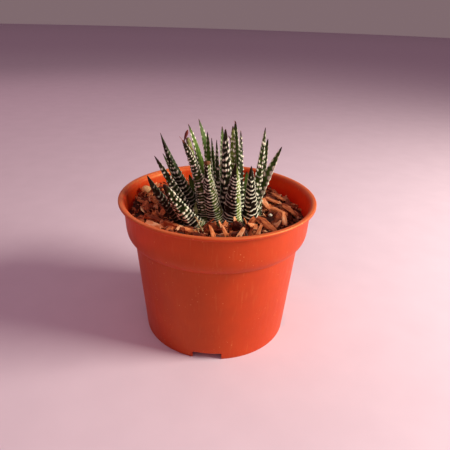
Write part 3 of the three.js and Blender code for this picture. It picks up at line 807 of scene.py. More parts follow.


@dataclass(frozen=True)
class Leaf:
    """One leaf, with the same named sizes as its solid.

    Attributes:
        root: place of its base from the middle of the clump.
        toward: direction in which it leans, in degrees from +X.
        lean: angle off the vertical at its base and at its tip.
        length: length from its base to its tip.
        width: width before it tapers.
        faces: direction that its banded outer face looks.
        taper: power by which its width falls to the tip.
        blunt: width of a tip that has dried back.
        warts: how strongly the bands break up into single warts, from 0 to 1.
        arcs: how chalky the unbroken bands are, from 0 to 1.
        beads: how much larger than usual its single warts are.
        chalk: how bright all its warts are, from 0 to 1; below 1 it paints shade over them.
        red_edge: share of its length along which the left edge has dried to a red line.
        bow: how far the bands sag in the middle, as a share of their spacing.
        keel: place of the keel across the face, from -0.5 to 0.5.
        pale: how light its green is, from 0 to 1.
        painted_lit_side: how much paler its face is painted on the right of its keel, and how much larger and
            stronger its warts are made there, from 0 to 1: painted light.
        fades: share of its length above which it is bare.
        spacing: distance between bands at its base and at its tip.
        lined: share of its length below which the bands are thin unbroken lines.
    """

    root: tuple[float, float]
    toward: float
    lean: tuple[float, float]
    length: float
    width: float
    faces: float
    taper: float
    blunt: float = 0.0
    warts: float = 0.4
    arcs: float = 0.55
    beads: float = 1.0
    chalk: float = 1.0
    red_edge: float = 0.0
    bow: float = 0.6
    keel: float = 0.0
    pale: float = 0.2
    painted_lit_side: float = 0.0
    fades: float = 0.88
    spacing: tuple[float, float] = (1.1, 2.4)
    lined: float = 0.2

    def course(self, base: Array) -> tuple[Array, Array, Array]:
        """The midrib: a chain of short steps, each in the direction that its share of the lean gives.

        Args:
            base: place of the leaf's base.

        Returns:
            The shares of the length, the points and the directions of the chain.
        """
        steps = 2 * round(self.length / LeafClumps.chain_spacing)
        share = (np.arange(steps) / steps) ** LeafClumps.crowding
        lean = np.radians(self.lean[0] + (self.lean[1] - self.lean[0]) * share)
        toward = math.radians(self.toward)
        along = np.stack([
            np.sin(lean) * math.cos(toward), np.sin(lean) * math.sin(toward), np.cos(lean)], axis=-1)
        advance = np.diff(share, prepend=0)[:, None] * self.length
        points = base + np.cumsum(along * advance, axis=0)
        tip = points[-1] + along[-1] * (1 - share[-1]) * self.length
        return (np.append(share, 1.0), np.concatenate([points, [tip]]),
                np.concatenate([along, along[-1:]]))

    def stations(self, share: Array, base: Array) -> tuple[Array, Array, Array, Array, Array]:
        """Place, frame and width of the leaf at some shares of its length.

        Args:
            share: the shares.
            base: place of the leaf's base.

        Returns:
            The points, the directions along, across and out of the leaf, and the widths.
        """
        shares, points, directions = self.course(base)
        middle = np.stack([np.interp(share, shares, points[:, axis]) for axis in range(3)], axis=-1)
        along = unit(np.stack(
            [np.interp(share, shares, directions[:, axis]) for axis in range(3)], axis=-1))
        faces = math.radians(self.faces)
        outward = np.array([math.cos(faces), math.sin(faces), 0.0])
        out = unit(outward - (along @ outward)[:, None] * along)
        flare = 1 + LeafClumps.base_flare * bell(share, 0.15)
        width = np.maximum(self.width * (1 - share) ** self.taper * flare, max(self.blunt, 0.3))
        return middle, along, np.cross(along, out), out, width

    def band_spacing(self, distance: Array) -> Array:
        """Distance between bands: it opens from the base's to the tip's as an exponential."""
        low, high = self.spacing
        return high - (high - low) * np.exp(-distance / 10.0)

    def relief(self, phase: Array, turn: Array, share: Array, seed: int) -> tuple[Array, Array]:
        """Height and tint of the warts.

        "phase" counts the bands from the base. A band is a bell across its middle, broken where a
        noise along it is low, and single warts stand on it at the two edges and at five lines
        between them, each with its own strength. Up to the share "lined" the bands are mended to
        unbroken lines and the warts are small. All of them fade out at the tip. On the right of the
        keel, "lit" paints the warts larger and stronger, as painted light.

        Args:
            phase: band count at each ring, as (ring, 1).
            turn: angle round the section, as (1, corner); the outer face is 0 to pi.
            share: share of the length at each ring, as (ring, 1).
            seed: the leaf's own pattern.

        Returns:
            The height from 0 to about 1, and the cream tint from 0 to 1.
        """
        face = turn / math.pi
        to_left = np.minimum(turn, WHOLE_TURN - turn) / math.pi
        to_right = np.abs(turn - math.pi) / math.pi
        on_outer = turn <= math.pi
        past_edge = np.where(on_outer, 0.0, np.minimum(to_left, to_right))
        wander = 0.5 * (lattice_noise(face * 3.0, phase * 0.8, seed) - 0.5)
        wander = wander + 0.22 * (lattice_noise(face * 9.0, phase * 0.9, seed + 1) - 0.5)
        bow = self.bow * (2 * np.clip(face, 0, 1) - 1) ** 2
        counted = phase + np.where(on_outer, wander - bow, -0.35)
        band = np.floor(counted)
        off = counted - band - 0.5
        amount = lattice_noise(face * 3.4 + 0.37 * band, band, seed + 2)
        mended = 1 - smooth_step(share, self.lined, self.lined + 0.45) * (0.6 + 0.4 * self.warts)
        line = smooth_step(amount, 0.46 - 0.40 * mended, 0.78 - 0.40 * mended)
        line = line * bell(off, 0.11 + 0.04 * self.arcs) * bell(past_edge, 0.035)
        warts = np.zeros(np.broadcast(counted, face).shape)
        for order in range(LINES_IN_ALL):
            strength = lattice_noise(np.full_like(band, order + 9.0), band, seed + 4)
            if order in (0, LINES_IN_ALL - 1):
                distance = (to_right if order else to_left) - 0.02
                strength = 0.45 + 0.55 * strength
                reach = self.beads * np.where(on_outer, 0.08, 0.2)
            else:
                jitter = 0.12 * (lattice_noise(np.full_like(band, order), band, seed + 3) - 0.5)
                distance = np.where(on_outer, face - WART_LINES[order - 1], 9.0) - jitter
                strength = 0.5 + 0.5 * strength if order == MIDDLE_LINE else smooth_step(strength, 0.3, 0.8)
                # warts on the right of the keel are made stronger: painted light
                strength = np.maximum(strength, 0.9 * self.painted_lit_side if order in LIT_LINES else 0.0)
                strength = strength * (1 - smooth_step(share, self.fades - 0.1, self.fades + 0.03))
                reach = self.beads * 0.055
            dot = bell(distance, reach) * bell(off, 0.24 * self.beads)
            warts = np.maximum(warts, strength * dot)
        wart_size_and_painted_light = smooth_step(share, self.lined - 0.25, self.lined + 0.1)
        # and larger there, as painted light
        wart_size_and_painted_light = np.maximum(wart_size_and_painted_light, 0.75 * self.painted_lit_side * smooth_step(face, 0.5 + self.keel, 0.65 + self.keel))
        wart_size_and_painted_light = 0.3 + 0.7 * wart_size_and_painted_light
        size = 0.5 + 0.5 * self.warts
        line = line * (1 - smooth_step(share, self.fades - 0.15, self.fades))
        bare = max(0.96, self.fades + 0.04)
        warts = warts * wart_size_and_painted_light * (1 - smooth_step(share, bare - 0.08, bare))
        height = np.maximum(0.45 * line, warts * size)
        tint = np.maximum(self.arcs * smooth_step(line, 0.3, 0.7), smooth_step(warts, 0.28, 0.52))
        return height, self.chalk * tint

    def skin(self, base: Array, seed: int) -> Skin:
        """The leaf as a surface of length and turn.

        The section is a half ellipse out of the leaf, drawn towards a soft keel by a share that
        grows up the leaf, and a nearly flat inner face. A point at angle a lies at -cos(a) / 2 of
        the width across and sin(a) times the depth out. The warts lift it along the section's own
        normal. "tone" is paler with "pale". On the right of the keel it is painted paler with "lit",
        as painted light, and low down on the other side it is painted darker, as painted shade.

        Args:
            base: place of the leaf's base.
            seed: the leaf's own pattern.

        Returns:
            The leaf with its "band", "inner", "along", "dry" and "tone".
        """
        distance = np.linspace(0, self.length, 800)
        counted = np.concatenate([[0], np.cumsum(np.diff(distance) / self.band_spacing(distance[1:]))])
        rows = 8 * round(counted[-1])
        phase = np.linspace(0, counted[-1], rows, endpoint=False)
        share = np.interp(phase, counted, distance) / self.length
        middle, _, across, out, width = self.stations(share, base)
        turn = np.concatenate([
            np.linspace(0, math.pi, LeafClumps.outer_columns, endpoint=False),
            np.linspace(math.pi, WHOLE_TURN, LeafClumps.inner_columns, endpoint=False),
        ])[None]
        phase, share, width = phase[:, None], share[:, None], width[:, None]
        outer = turn <= math.pi
        ridge = 1 - np.abs(-np.cos(turn) - 2 * self.keel)
        drawn = LeafClumps.keel_share * smooth_step(share, 0.0, 0.45)
        keel = drawn * (1.12 * ridge - np.sin(turn)) * np.abs(np.sin(turn)) ** 0.5
        depth = np.maximum(LeafClumps.depth * width, 0.3)
        hollow = 0.05 * (1 - smooth_step(share, 0.1, 0.6)) - 0.045
        keel = np.where(outer, keel, 0)
        lift = np.where(outer, (np.sin(turn) + keel) * depth, -hollow * width * np.sin(turn))
        aside = -0.5 * np.cos(turn) * width
        height, tint = self.relief(phase, turn, share, seed)
        swell = LeafClumps.band_height * np.minimum(1, width / 5.0) * height
        facing_across = -np.cos(turn) * depth
        facing_out = np.where(outer, np.sin(turn), 0) * 0.5 * width
        facing = np.hypot(facing_across, facing_out) + 1e-6
        aside = aside + swell * facing_across / facing
        lift = lift + swell * facing_out / facing
        rings = middle[:, None] + across[:, None] * aside[..., None] + out[:, None] * lift[..., None]
        ones = np.ones((rows, turn.shape[1]))
        edge = np.minimum(turn, WHOLE_TURN - turn) / math.pi
        dry = bell(edge, 0.03) * (share < self.red_edge) + ones * smooth_step(share, 0.985, 1.0)
        if self.blunt:
            dry = dry + ones * smooth_step(share, 0.93, 0.97)
        inner = np.where(outer, 0.0, 1.0) * ones
        # the face on the right of the keel is painted paler: painted light
        painted_light_share = self.painted_lit_side ** 0.3 * smooth_step(turn / math.pi, 0.46 + self.keel, 0.56 + self.keel)
        # the lower leaf away from the light's side is painted darker: painted shade
        low = 1 - smooth_step(share, self.lined - 0.1, self.lined + 0.25)
        values = {
            "band": tint * (1 - np.clip(dry, 0, 1) * 0.8),
            "inner": inner,
            "along": share * ones * (0.85 if self.blunt else 1.0),
            "dry": np.clip(dry, 0, 1),
            "tone": 0.6 * self.pale + np.where(
                outer, 0.6 * self.painted_lit_side * painted_light_share - 0.22 * low * (1 - painted_light_share), 0),
        }
        _, points, _ = self.course(base)
        ends = np.stack([rings[0].mean(axis=0), points[-1]])
        return Skin.tubes(rings, ends, values)


@dataclass
class LeafClumps:
    """The four clumps: where each stands and its leaves, which share the first few sizes.

    Attributes:
        root_height: height of the leaves' bases.
        middles: middle of each clump, by the first letter of its leaves.
        leaves: the leaves by name.
    """

    chain_spacing = 4.4  # length of a midrib to two steps of its chain
    crowding = 1.12  # power by which the steps crowd towards the base
    base_flare = 0.25  # how much wider a leaf is at its base
    depth = 0.37  # of the section, as a share of the width
    keel_share = 0.62  # how far the section is drawn to its keel
    band_height = 0.8  # of the warts, in mm
    outer_columns = 34  # points across the banded face
    inner_columns = 14
    root_height: float = 65.0

    middles: dict[str, tuple[float, float]] = field(default_factory=lambda: {
        "a": (-10.5, -7.5), "b": (-2.5, -5.5), "c": (8.0, -6.0), "d": (18.0, -5.0),
    })
    leaves: dict[str, Leaf] = field(default_factory=lambda: {
        # a1 lies low under the others: its warts are dimmed to a quarter as painted shade
        "a1": Leaf((-5, -1.5), 194, (50, 24), 34.5, 10, 236, 0.6, warts=0.5, arcs=0.6, chalk=0.25,
                   pale=0.0, bow=1.0, lined=0.5),
        "a2": Leaf((-1, -3.5), 211, (41, 28), 31, 10, 250, 0.5, warts=1.0, arcs=0.6, beads=1.3, red_edge=0.75,
                   pale=0.2, spacing=(1.6, 2.3), keel=0.06),
        "a3": Leaf((-2, 0.5), 183, (26, 31), 41, 8.5, 235, 0.65, warts=1.0, arcs=0.3, beads=1.2, pale=0.15,
                   spacing=(1.5, 2.3), fades=0.92),
        "a4": Leaf((3, 2), 172, (34, 18), 51.5, 9, 285, 0.8, warts=0.3, arcs=0.35, painted_lit_side=0.25, keel=0.1,
                   spacing=(1.8, 2.2), fades=0.9, lined=0.45),
        "a5": Leaf((-3.3, 4), 151, (22, 34), 38, 7, 150, 0.65),
        "a6": Leaf((1, 6), 140, (12, 26), 24, 7, 90, 0.6),
        "b1": Leaf((-4.6, -2.5), 195, (-2, 28), 47, 10, 225, 0.45, warts=1.0, arcs=0.35, beads=1.2, bow=1.0,
                   keel=0.05, painted_lit_side=0.35, fades=0.95, spacing=(1.0, 1.6), lined=0.25),
        "b2": Leaf((2.2, -4.2), 206, (17, 3), 36, 12, 262, 0.8, blunt=3, warts=0.9, arcs=0.65, beads=1.2,
                   bow=1.6, keel=0.08, pale=0.05, painted_lit_side=0.75, spacing=(0.75, 1.75), fades=1.0, lined=0.42),
        "b3": Leaf((-1.2, 1.5), 168, (3, 23), 52.5, 9, 155, 0.6, warts=0.8, beads=1.4, pale=0.3, fades=0.95),
        "b4": Leaf((1, 4.5), 150, (0, 22), 53.7, 8, 125, 0.65, warts=0.8, beads=1.4, pale=0.2, fades=0.95),
        "b5": Leaf((-1, 1), 114, (6, 9), 47, 7, 60, 0.65, warts=1.0, beads=1.7, pale=0.0, fades=0.97),
        "b6": Leaf((2.5, 2.5), 142, (5, 8), 44, 6.5, 30, 0.6, warts=0.9, beads=1.5, pale=0.1, fades=0.95),
        "b7": Leaf((2.5, -1.5), 143, (1, 3), 44.5, 5.5, 320, 0.6, warts=0.9, beads=1.3, pale=0.3, fades=0.95),
        "b8": Leaf((2, 6.5), 95, (8, 22), 34, 8, 85, 0.6),
        "c1": Leaf((-3.5, 4), 121, (7, 7), 49.5, 7.5, 135, 0.55, warts=0.7, beads=1.4, pale=0.0, fades=0.95),
        "c2": Leaf((-2, -2.5), 171, (5, 2), 50.5, 8.5, 235, 0.5, warts=0.9, arcs=0.4, beads=1.2,
                   pale=0.0, keel=0.1, painted_lit_side=0.15, fades=0.93, spacing=(1.8, 3.0), lined=0.3),
        "c3": Leaf((2, 5), 107, (9, 5), 52, 8, 70, 0.6, warts=0.8, beads=1.4, pale=0.1, fades=0.95),
        "c4": Leaf((3, -0.5), 102, (5, 1), 49, 8, 350, 0.5, warts=1.0, arcs=0.5, pale=0.2,
                   spacing=(1.9, 2.3), fades=0.97),
        "c5": Leaf((-0.6, -6), 300, (4, 3), 35, 10, 268, 0.6, warts=0.9, arcs=0.65, beads=1.1, bow=1.3,
                   keel=0.16, pale=0.0, painted_lit_side=1.0, spacing=(1.2, 1.8), lined=0.45),
        "c6": Leaf((0.5, 0), 121, (4, 4), 51, 6.5, 300, 0.5, warts=1.0, arcs=0.3, beads=1.3, pale=1.0,
                   red_edge=1.0, fades=0.97, spacing=(1.4, 2.2)),
        "c7": Leaf((0, 7.5), 95, (14, 28), 33, 8.5, 90, 0.6),
        "d1": Leaf((-0.5, -4), 252, (8, 6), 34, 9, 262, 0.7, warts=0.7, arcs=1.0, pale=0.05,
                   spacing=(2.0, 2.4), bow=1.0, lined=0.6),
        "d2": Leaf((0.5, 0), 13, (7, 3), 51, 7, 300, 0.65, warts=1.0, arcs=0.3, beads=1.5, pale=0.5,
                   spacing=(2.0, 2.4), fades=0.97),
        "d3": Leaf((1.5, 4), 34, (10, 8), 44, 7, 60, 0.6, warts=0.7, beads=1.4, fades=0.95),
        "d4": Leaf((-2.3, 1.5), -5, (19, 23), 44.5, 7.5, 40, 0.6, warts=1.0, arcs=0.2, beads=2.1, pale=0.0,
                   spacing=(2.5, 2.9), fades=0.97),
        "d5": Leaf((-1.5, 5.5), 100, (8, 22), 25, 7.5, 100, 0.6),
    })

    def base_of(self, name: str) -> Array:
        """Place of a leaf's base."""
        middle, root = self.middles[name[0]], self.leaves[name].root
        return np.array([middle[0] + root[0], middle[1] + root[1], self.root_height])

    def build(self, finish: Finish) -> None:
        """Makes every leaf in place of its solid."""
        skin = finish.material()
        for order, (name, leaf) in enumerate(self.leaves.items()):
            made = leaf.skin(self.base_of(name), 31 + 13 * order).to_object(f"banded_leaf_{name}")
            place_piece(made, skin, [f"leaf_{name}"])

    def taken(self, places: Array, margin: Array) -> Array:
        """Tells which places lie in a leaf, or closer to one than a margin.

        Args:
            places: points as (n, 3).
            margin: clearance wanted at each.

        Returns:
            True for each place that is taken.
        """
        share = np.linspace(0, 0.6, 25)
        blocked = np.zeros(len(places), bool)
        for name, leaf in self.leaves.items():
            middle, along, across, out, width = leaf.stations(share, self.base_of(name))
            apart = places[:, None] - middle
            aside = np.abs((apart * across).sum(axis=-1)) - width / 2
            behind = (apart * out).sum(axis=-1)
            off = np.maximum(-behind, behind - self.depth * width)
            past = np.abs((apart * along).sum(axis=-1)) - leaf.length * 0.02
            gap = np.maximum(np.maximum(aside, off), past)
            blocked |= (gap < margin[:, None]).any(axis=1)
        return blocked


# ---------------------------------------------------------------- bark cover
def chip_draws(count: int, seed: int) -> Array:
    """Random values from 0 to 1 in the solids' own order, so that the large chips lie as theirs do.

    The n-th value is a hash of the seed plus n times a constant, in 32-bit whole numbers.

    Args:
        count: number of values.
        seed: the solids' own seed.

    Returns:
        The values.
    """
    whole, step = np.uint64(BITS), np.uint64(0x6D2B79F5)
    state = (np.uint64(seed) + np.arange(1, count + 1, dtype=np.uint64) * step) & whole
    mixed = ((state ^ (state >> np.uint64(15))) * (state | np.uint64(1))) & whole
    stirred = ((mixed ^ (mixed >> np.uint64(7))) * (mixed | np.uint64(61))) & whole
    mixed = ((mixed + stirred) & whole) ^ mixed
    return (mixed ^ (mixed >> np.uint64(14))).astype(float) / 2**32


@dataclass(frozen=True)
class ChipGrain:
    """How finely a batch of chips is shaped.

    Attributes:
        rings: stations along a chip.
        corners: points round its section.
        ragged: share of its half length by which its ends are uneven.
        groove: depth of the fibre grooves as a share of the section.
        square: power of the section's corners; smaller is squarer.
    """

    rings: int
    corners: int
    ragged: float
    groove: float
    square: float

    def skin(self, boxes: Array, turns: Array, places: Array, tones: Array, seed: int) -> Skin:
        """Shapes a batch of chips from the corners of their boxes.

        A point at share u along and angle a round the chip is the box's corners mixed by u and by
        the two coordinates of a rounded square at that angle. Grooves run along the fibre: the
        section shrinks and grows by a noise of the angle. The ends are ragged by another.

        Args:
            boxes: the corners before turning, as (chip, 2, 2, 2, 3), from low to high.
            turns: a turning matrix for each chip.
            places: the chips' places.
            tones: the chips' own shades from 0 to 1.
            seed: the batch's pattern.

        Returns:
            The chips with "fibre", a place along the fibre in mm, and "tone".
        """
        count = len(boxes)
        chip = np.arange(count)[:, None, None]
        share = np.concatenate([[-1.0], np.linspace(-1, 1, self.rings - 2), [1.0]])[None, :, None]
        close = np.concatenate([[0.5], np.full(self.rings - 2, 1.0), [0.5]])[None, :, None]
        close = close * (1 - 0.16 * np.abs(share) ** 5)
        angle = round_turn(self.corners)[None, None, :]
        grooves = lattice_noise(angle * self.corners / 9 + 3.1 * chip, share * 0.9 + 7.7 * chip, seed)
        size = close * (1 + self.groove * (2 * grooves - 1))
        wide = np.sign(np.cos(angle)) * np.abs(np.cos(angle)) ** self.square * size
        thick = np.sign(np.sin(angle)) * np.abs(np.sin(angle)) ** self.square * size
        tear = lattice_noise(angle * self.corners / 5 + 5.3 * chip, 0 * share + 2.9 * chip, seed + 1) - 0.5
        long = share + np.sign(share) * self.ragged * tear * 2 * np.abs(share) ** 3
        weights = [((1 - value) / 2, (1 + value) / 2) for value in (long, wide, thick)]
        rings = sum(
            (weights[0][i] * weights[1][j] * weights[2][k])[..., None] * boxes[:, None, None, i, j, k]
            for i in (0, 1) for j in (0, 1) for k in (0, 1)
        )
        fibre = rings + 17.3 * np.arange(count)[:, None, None, None]
        ends = np.stack([rings[:, 0].mean(axis=1), rings[:, -1].mean(axis=1)], axis=1)
        rings = np.einsum("nrck,njk->nrcj", rings, turns) + places[:, None, None]
        ends = np.einsum("nek,njk->nej", ends, turns) + places[:, None]
        # each chip is painted darker in its fibre grooves and lighter on the ridges between: painted shade
        tone = np.clip(tones[:, None, None] + 0.16 * (grooves - 0.5), 0, 1)
        return Skin.tubes(rings, ends, {"fibre": fibre, "tone": tone})


@dataclass
class BarkCover:
    """Bark chips over the potting mix: a bed of fines, large chips and a scatter of small ones.

    Attributes:
        level: the bed's height at the middle.
        slope: its rise along X and along Y.
        swells: height, place, width and depth of each rise or dip in it.
        bottom: height of its underside.
        roughness: height, width, level and seed of each noise on the bed.
        chip_seed: seed of the solid's draws.
        bed_draws: how many of them its bed takes before the first chip.
        corner_order: order in which a chip's corners take theirs.
        pinch: least share of the half size at which a corner lies, and how much a draw adds.
        tilt: range of a scattered chip's turn about each level axis.
        scattered: number of scattered chips in the solid.
        reach: radius of the disc that they fill.
        rim_zone: radius beyond which they lie along the wall.
        clump_reach: distance that they keep from a clump's middle.
        middle_chips, crumbs: numbers of smaller chips that only the dressed bed has.
        clearance: share of its length that such a chip keeps from the leaves and the wall.
        large: place, size and turn of the chips listed one by one, as their solids have them.
        shards: foot, head, width and shade of slivers that only the dressed bed has.
    """

    level: float = 67.4
    slope: tuple[float, float] = (-0.015, 0.06)
    swells: tuple[tuple[float, ...], ...] = ((-2.6, -30, -24, 17, 17), (2.9, -40, 18, 14, 16))
    bottom: float = 60.3
    roughness: tuple[tuple[float, float, float, int], ...] = (
        (2.0, 2.6, 0.62, 5), (0.9, 1.1, 0.5, 6), (0.4, 0.5, 0.5, 7),
    )
    chip_seed: int = 41
    bed_draws: int = 176
    corner_order: tuple[tuple[int, int, int], ...] = (
        (1, 1, 1), (1, 1, 0), (1, 0, 1), (1, 0, 0), (0, 1, 0), (0, 1, 1), (0, 0, 1), (0, 0, 0),
    )
    pinch: tuple[float, float] = (0.62, 0.5)
    tilt: float = 0.9
    scattered: int = 60
    reach: float = 43.0
    rim_zone: float = 38.0
    clump_reach: float = 8.5
    middle_chips: int = 620
    crumbs: int = 1300
    clearance: float = 0.42
    large: tuple[Course, ...] = (
        ((-3, -22, 68), (5, 3, 9), (0.3, 0.5, 0.4)),
        ((4, -20, 67.5), (4, 3, 8), (0.2, -0.5, 0.9)),
        ((10, -20, 68), (5, 2.6, 9), (0.4, 0.2, -0.3)),
        ((17, -16, 67.6), (9, 4, 3), (0.2, -0.6, 0.7)),
        ((23, -12, 68.4), (10, 4, 3.4), (0.5, 0.5, -0.5)),
        ((31, -9, 68), (4, 3, 8), (-0.2, 0.5, 0.2)),
        ((30, 6, 68.5), (12, 4.6, 3), (0.3, 0.3, 0.6)),
        ((23, 10, 69.4), (10, 4.2, 3), (-0.3, 0.35, -0.5)),
        ((37, -2, 68), (10, 5, 3), (0.2, -0.3, 1.3)),
        ((-32, -24, 65.4), (11, 4.6, 2.4), (-0.3, 0.1, 0.7)),
        ((-26, 6, 68.6), (11, 3.6, 3), (0.3, 0.3, -0.4)),
        ((-13, -24, 67), (9, 3.4, 3), (0.2, 0.4, 0.2)),
    )
    shards: tuple[tuple[Point, Point, float, float], ...] = (
        ((34.8, -16.5, 69.6), (34.1, -13.0, 73.0), 2.4, 0.95),
        ((22.9, -16.4, 70.6), (28.6, -23.9, 68.4), 4.0, 0.7),
        ((-35.3, -20.0, 69.4), (-28.2, -24.5, 69.6), 3.2, 1.0),
        ((-39.5, 28.0, 70.4), (-30.2, 9.6, 70.8), 3.6, 0.4),
        ((20.5, 30.0, 69.6), (24.5, 26.0, 71.2), 3.2, 0.85),
        ((33.0, 22.0, 70.2), (37.0, 12.0, 70.6), 4.6, 0.75),
        ((28.0, 15.0, 70.8), (34.0, 6.0, 71.2), 4.4, 0.9),
        ((37.0, 3.0, 70.4), (42.0, -6.0, 70.0), 4.2, 0.75),
        ((24.5, 12.0, 71.4), (27.0, 3.5, 70.6), 3.8, 0.95),
        ((30.0, -1.0, 70.8), (36.5, -5.5, 70.2), 3.6, 0.85),
        ((-4.6, -18.3, 69.0), (-2.4, -21.0, 72.6), 2.6, 0.85),
        ((-1.4, -29.9, 68.2), (-3.4, -25.5, 71.0), 2.4, 0.8),
        ((2.5, -22.6, 68.6), (1.3, -23.6, 72.4), 2.2, 0.95),
        ((4.5, -27.4, 67.6), (3.0, -26.4, 71.2), 2.0, 0.8),
        ((9.6, -17.5, 68.2), (8.6, -18.6, 73.0), 2.4, 0.9),
        ((11.3, -29.3, 68.0), (13.0, -27.0, 70.8), 2.2, 0.95),
        ((14.9, -14.7, 68.2), (13.9, -17.8, 71.8), 2.6, 0.75),
        ((19.2, -19.3, 68.4), (16.4, -21.6, 70.6), 2.4, 0.95),
        ((20.3, -26.6, 68.0), (21.9, -24.8, 71.4), 2.0, 0.85),
        ((30.7, -17.7, 69.2), (31.9, -17.1, 70.6), 1.8, 1.0),
    )

    def cover_level(self, x: Array, y: Array) -> Array:
        """Height of the bed: a slope up to the back, a dip at the front left and a rise behind it."""
        level = self.level + self.slope[1] * y + self.slope[0] * x
        for height, east, north, width, depth in self.swells:
            level = level + height * np.exp(-(((x - east) / width) ** 2) - ((y - north) / depth) ** 2)
        return level

    @staticmethod
    def mouth_radius(height: Array) -> Array:
        """Radius that the cover may fill at a height: just inside the wall, below and above its step."""
        return np.where(
            height < 61.7, 46.5 + (height - 60.3) * 0.55, 47.25 + (height - 61.7) / 14.6
        )

    def bed(self) -> Skin:
        """The bed of fines: a disc whose top follows the level, roughened by three noises."""
        turn = round_turn(200)[None]
        top_share = np.sqrt(np.linspace(1, 0.0004, 64))[:, None]
        edge = self.mouth_radius(66.0)
        x, y = edge * top_share * np.cos(turn), edge * top_share * np.sin(turn)
        rough = sum(height * (lattice_noise(x / width, y / width, seed) - level)
                    for height, width, level, seed in self.roughness)
        top = np.stack([x, y, self.cover_level(x, y) - 1.0 + rough], axis=-1)
        low_edge = np.array([[0.4], [0.99], [1.0]]) * self.mouth_radius(np.array(self.bottom))
        low = np.array([[0.0], [0.0], [0.3]]) + self.bottom + 0 * turn
        under = np.stack([low_edge * np.cos(turn), low_edge * np.sin(turn), low], axis=-1)
        rings = np.concatenate([under, top])
        ends = np.array([(0, 0, self.bottom), (0, 0, self.level - 1.0)], float)
        tone = np.clip(0.22 + 0.5 * (lattice_noise(rings[..., 0] / 1.3, rings[..., 1] / 1.3, 8) - 0.5), 0, 1)
        return Skin.tubes(rings, ends, {"fibre": rings, "tone": tone})

    def solid_chips(self, clumps: LeafClumps) -> tuple[Array, Array, Array]:
        """The chips that the solid has: those listed one by one, then a spiral of scattered ones.

        Each corner of a chip's box is pinched along the three axes by draws of its own.

        Args:
            clumps: the leaves, whose middles the scattered chips keep clear of.

        Returns:
            The corners of the boxes, the turning matrices and the places.
        """
        draws = iter(chip_draws(4000, self.chip_seed)[self.bed_draws:])
        boxes, turns, places = [], [], []

        def lay(place: Sequence[float], size: Sequence[float], turn: Sequence[float]) -> None:
            """Adds one chip, with its eight pinched corners."""
            box = np.zeros((2, 2, 2, 3))
            for corner in self.corner_order:
                pinch = np.array([self.pinch[0] + self.pinch[1] * next(draws) for _ in range(3)])
                box[corner] = CORNERS[corner] * np.array(size) / 2 * pinch
            boxes.append(box)
            turns.append(turned(np.eye(3), *turn).T)
            places.append(place)

        for place, size, turn in self.large:
            lay(place, size, turn)
        for count in range(self.scattered):
            reach = self.reach * math.sqrt((count + 0.5) / self.scattered)
            bearing = count * GOLDEN_TURN + 0.3 * next(draws)
            size = (7 + 5 * next(draws), 3.6 + 2.6 * next(draws), 2.2 + 1.6 * next(draws))
            tip, roll = self.tilt * (next(draws) - 0.5), self.tilt * (next(draws) - 0.5)
            yaw = WHOLE_TURN * next(draws)
            x, y = reach * math.cos(bearing), reach * math.sin(bearing)
            z = float(self.cover_level(x, y)) + 0.25 * size[2] + 0.8 * next(draws) - 0.4
            if any(math.hypot(x - a, y - b) < self.clump_reach for a, b in clumps.middles.values()):
                continue
            lay((x, y, z), size, (roll, tip, bearing + math.pi / 2 if reach > self.rim_zone else yaw))
        return np.array(boxes), np.array(turns), np.array(places)

    def scatter(self, clumps: LeafClumps, count: int, low: float, high: float, lift: float,
                tilt: float, seed: int) -> Chips:
        """Scatters small chips over the bed, clear of the leaves.

        Args:
            clumps: the leaves to keep clear of.
            count: how many to try.
            low: least length.
            high: greatest length.
            lift: greatest height above the bed.
            tilt: greatest turn about each level axis, in radians.
            seed: the scatter's pattern.

        Returns:
            The boxes, turning matrices, places and tones.
        """
        source = np.random.default_rng(seed)
        length = low + (high - low) * source.random(count) ** 1.6
        size = np.maximum(0.5, length[:, None] * np.stack([
            np.ones(count), 0.4 + 0.5 * source.random(count), 0.1 + 0.2 * source.random(count)], axis=-1))
        half = self.clearance * length
        reach = (self.mouth_radius(67.0) - half) * np.sqrt(source.random(count))
        bearing = source.random(count) * WHOLE_TURN
        x, y = reach * np.cos(bearing), reach * np.sin(bearing)
        z = self.cover_level(x, y) - 0.3 + lift * source.random(count)
        places = np.stack([x, y, z], axis=-1)
        keep = ~clumps.taken(places, half)
        pinch = 0.15 + 1.05 * source.random((count, 2, 2, 2, 3))
        boxes = CORNERS * pinch * size[:, None, None, None] / 2
        roll, tip = (tilt * (2 * source.random(count) - 1) for _ in range(2))
        angles = zip(roll, tip, WHOLE_TURN * source.random(count))
        turns = np.array([turned(np.eye(3), *angle).T for angle in angles])
        tones = np.clip(source.normal(0.58, 0.26, count), 0.05, 1.0)
        return boxes[keep], turns[keep], places[keep], tones[keep]

    def slivers(self) -> Chips:
        """The shards, each from its foot to its head, tapered and a third as thick as it is wide."""
        source = np.random.default_rng(19)
        boxes, turns, places, tones = [], [], [], []
        for foot, head, width, tone in self.shards:
            span = np.array(head) - np.array(foot)
            along = unit(span)
            across = unit(np.cross(along, [0.35, -0.5, 0.79]))
            pinch = 0.3 + 0.9 * source.random((2, 2, 2, 3))
            pinch[..., 0] = 0.7 + 0.3 * pinch[..., 0]
            pinch[1, ..., 1:] *= 0.6
            size = np.array([np.linalg.norm(span) + 1.6, 1.5 * width, 0.55 * width])
            boxes.append(CORNERS * pinch * size / 2)
            turns.append(np.stack([along, across, np.cross(along, across)], axis=1))
            places.append((np.array(foot) + np.array(head)) / 2)
            tones.append(tone - 0.12)
        return np.array(boxes), np.array(turns), np.array(places), np.array(tones)

    def held_in(self, skin: Skin) -> Skin:
        """Draws back what would stand in the pot's wall or under the cover."""
        skin.points[:, 2] = np.maximum(skin.points[:, 2], self.bottom)
        reach = np.hypot(skin.points[:, 0], skin.points[:, 1])
        allowed = self.mouth_radius(skin.points[:, 2])
        skin.points[:, :2] *= np.minimum(1, allowed / np.maximum(reach, 1e-6))[:, None]
        return skin

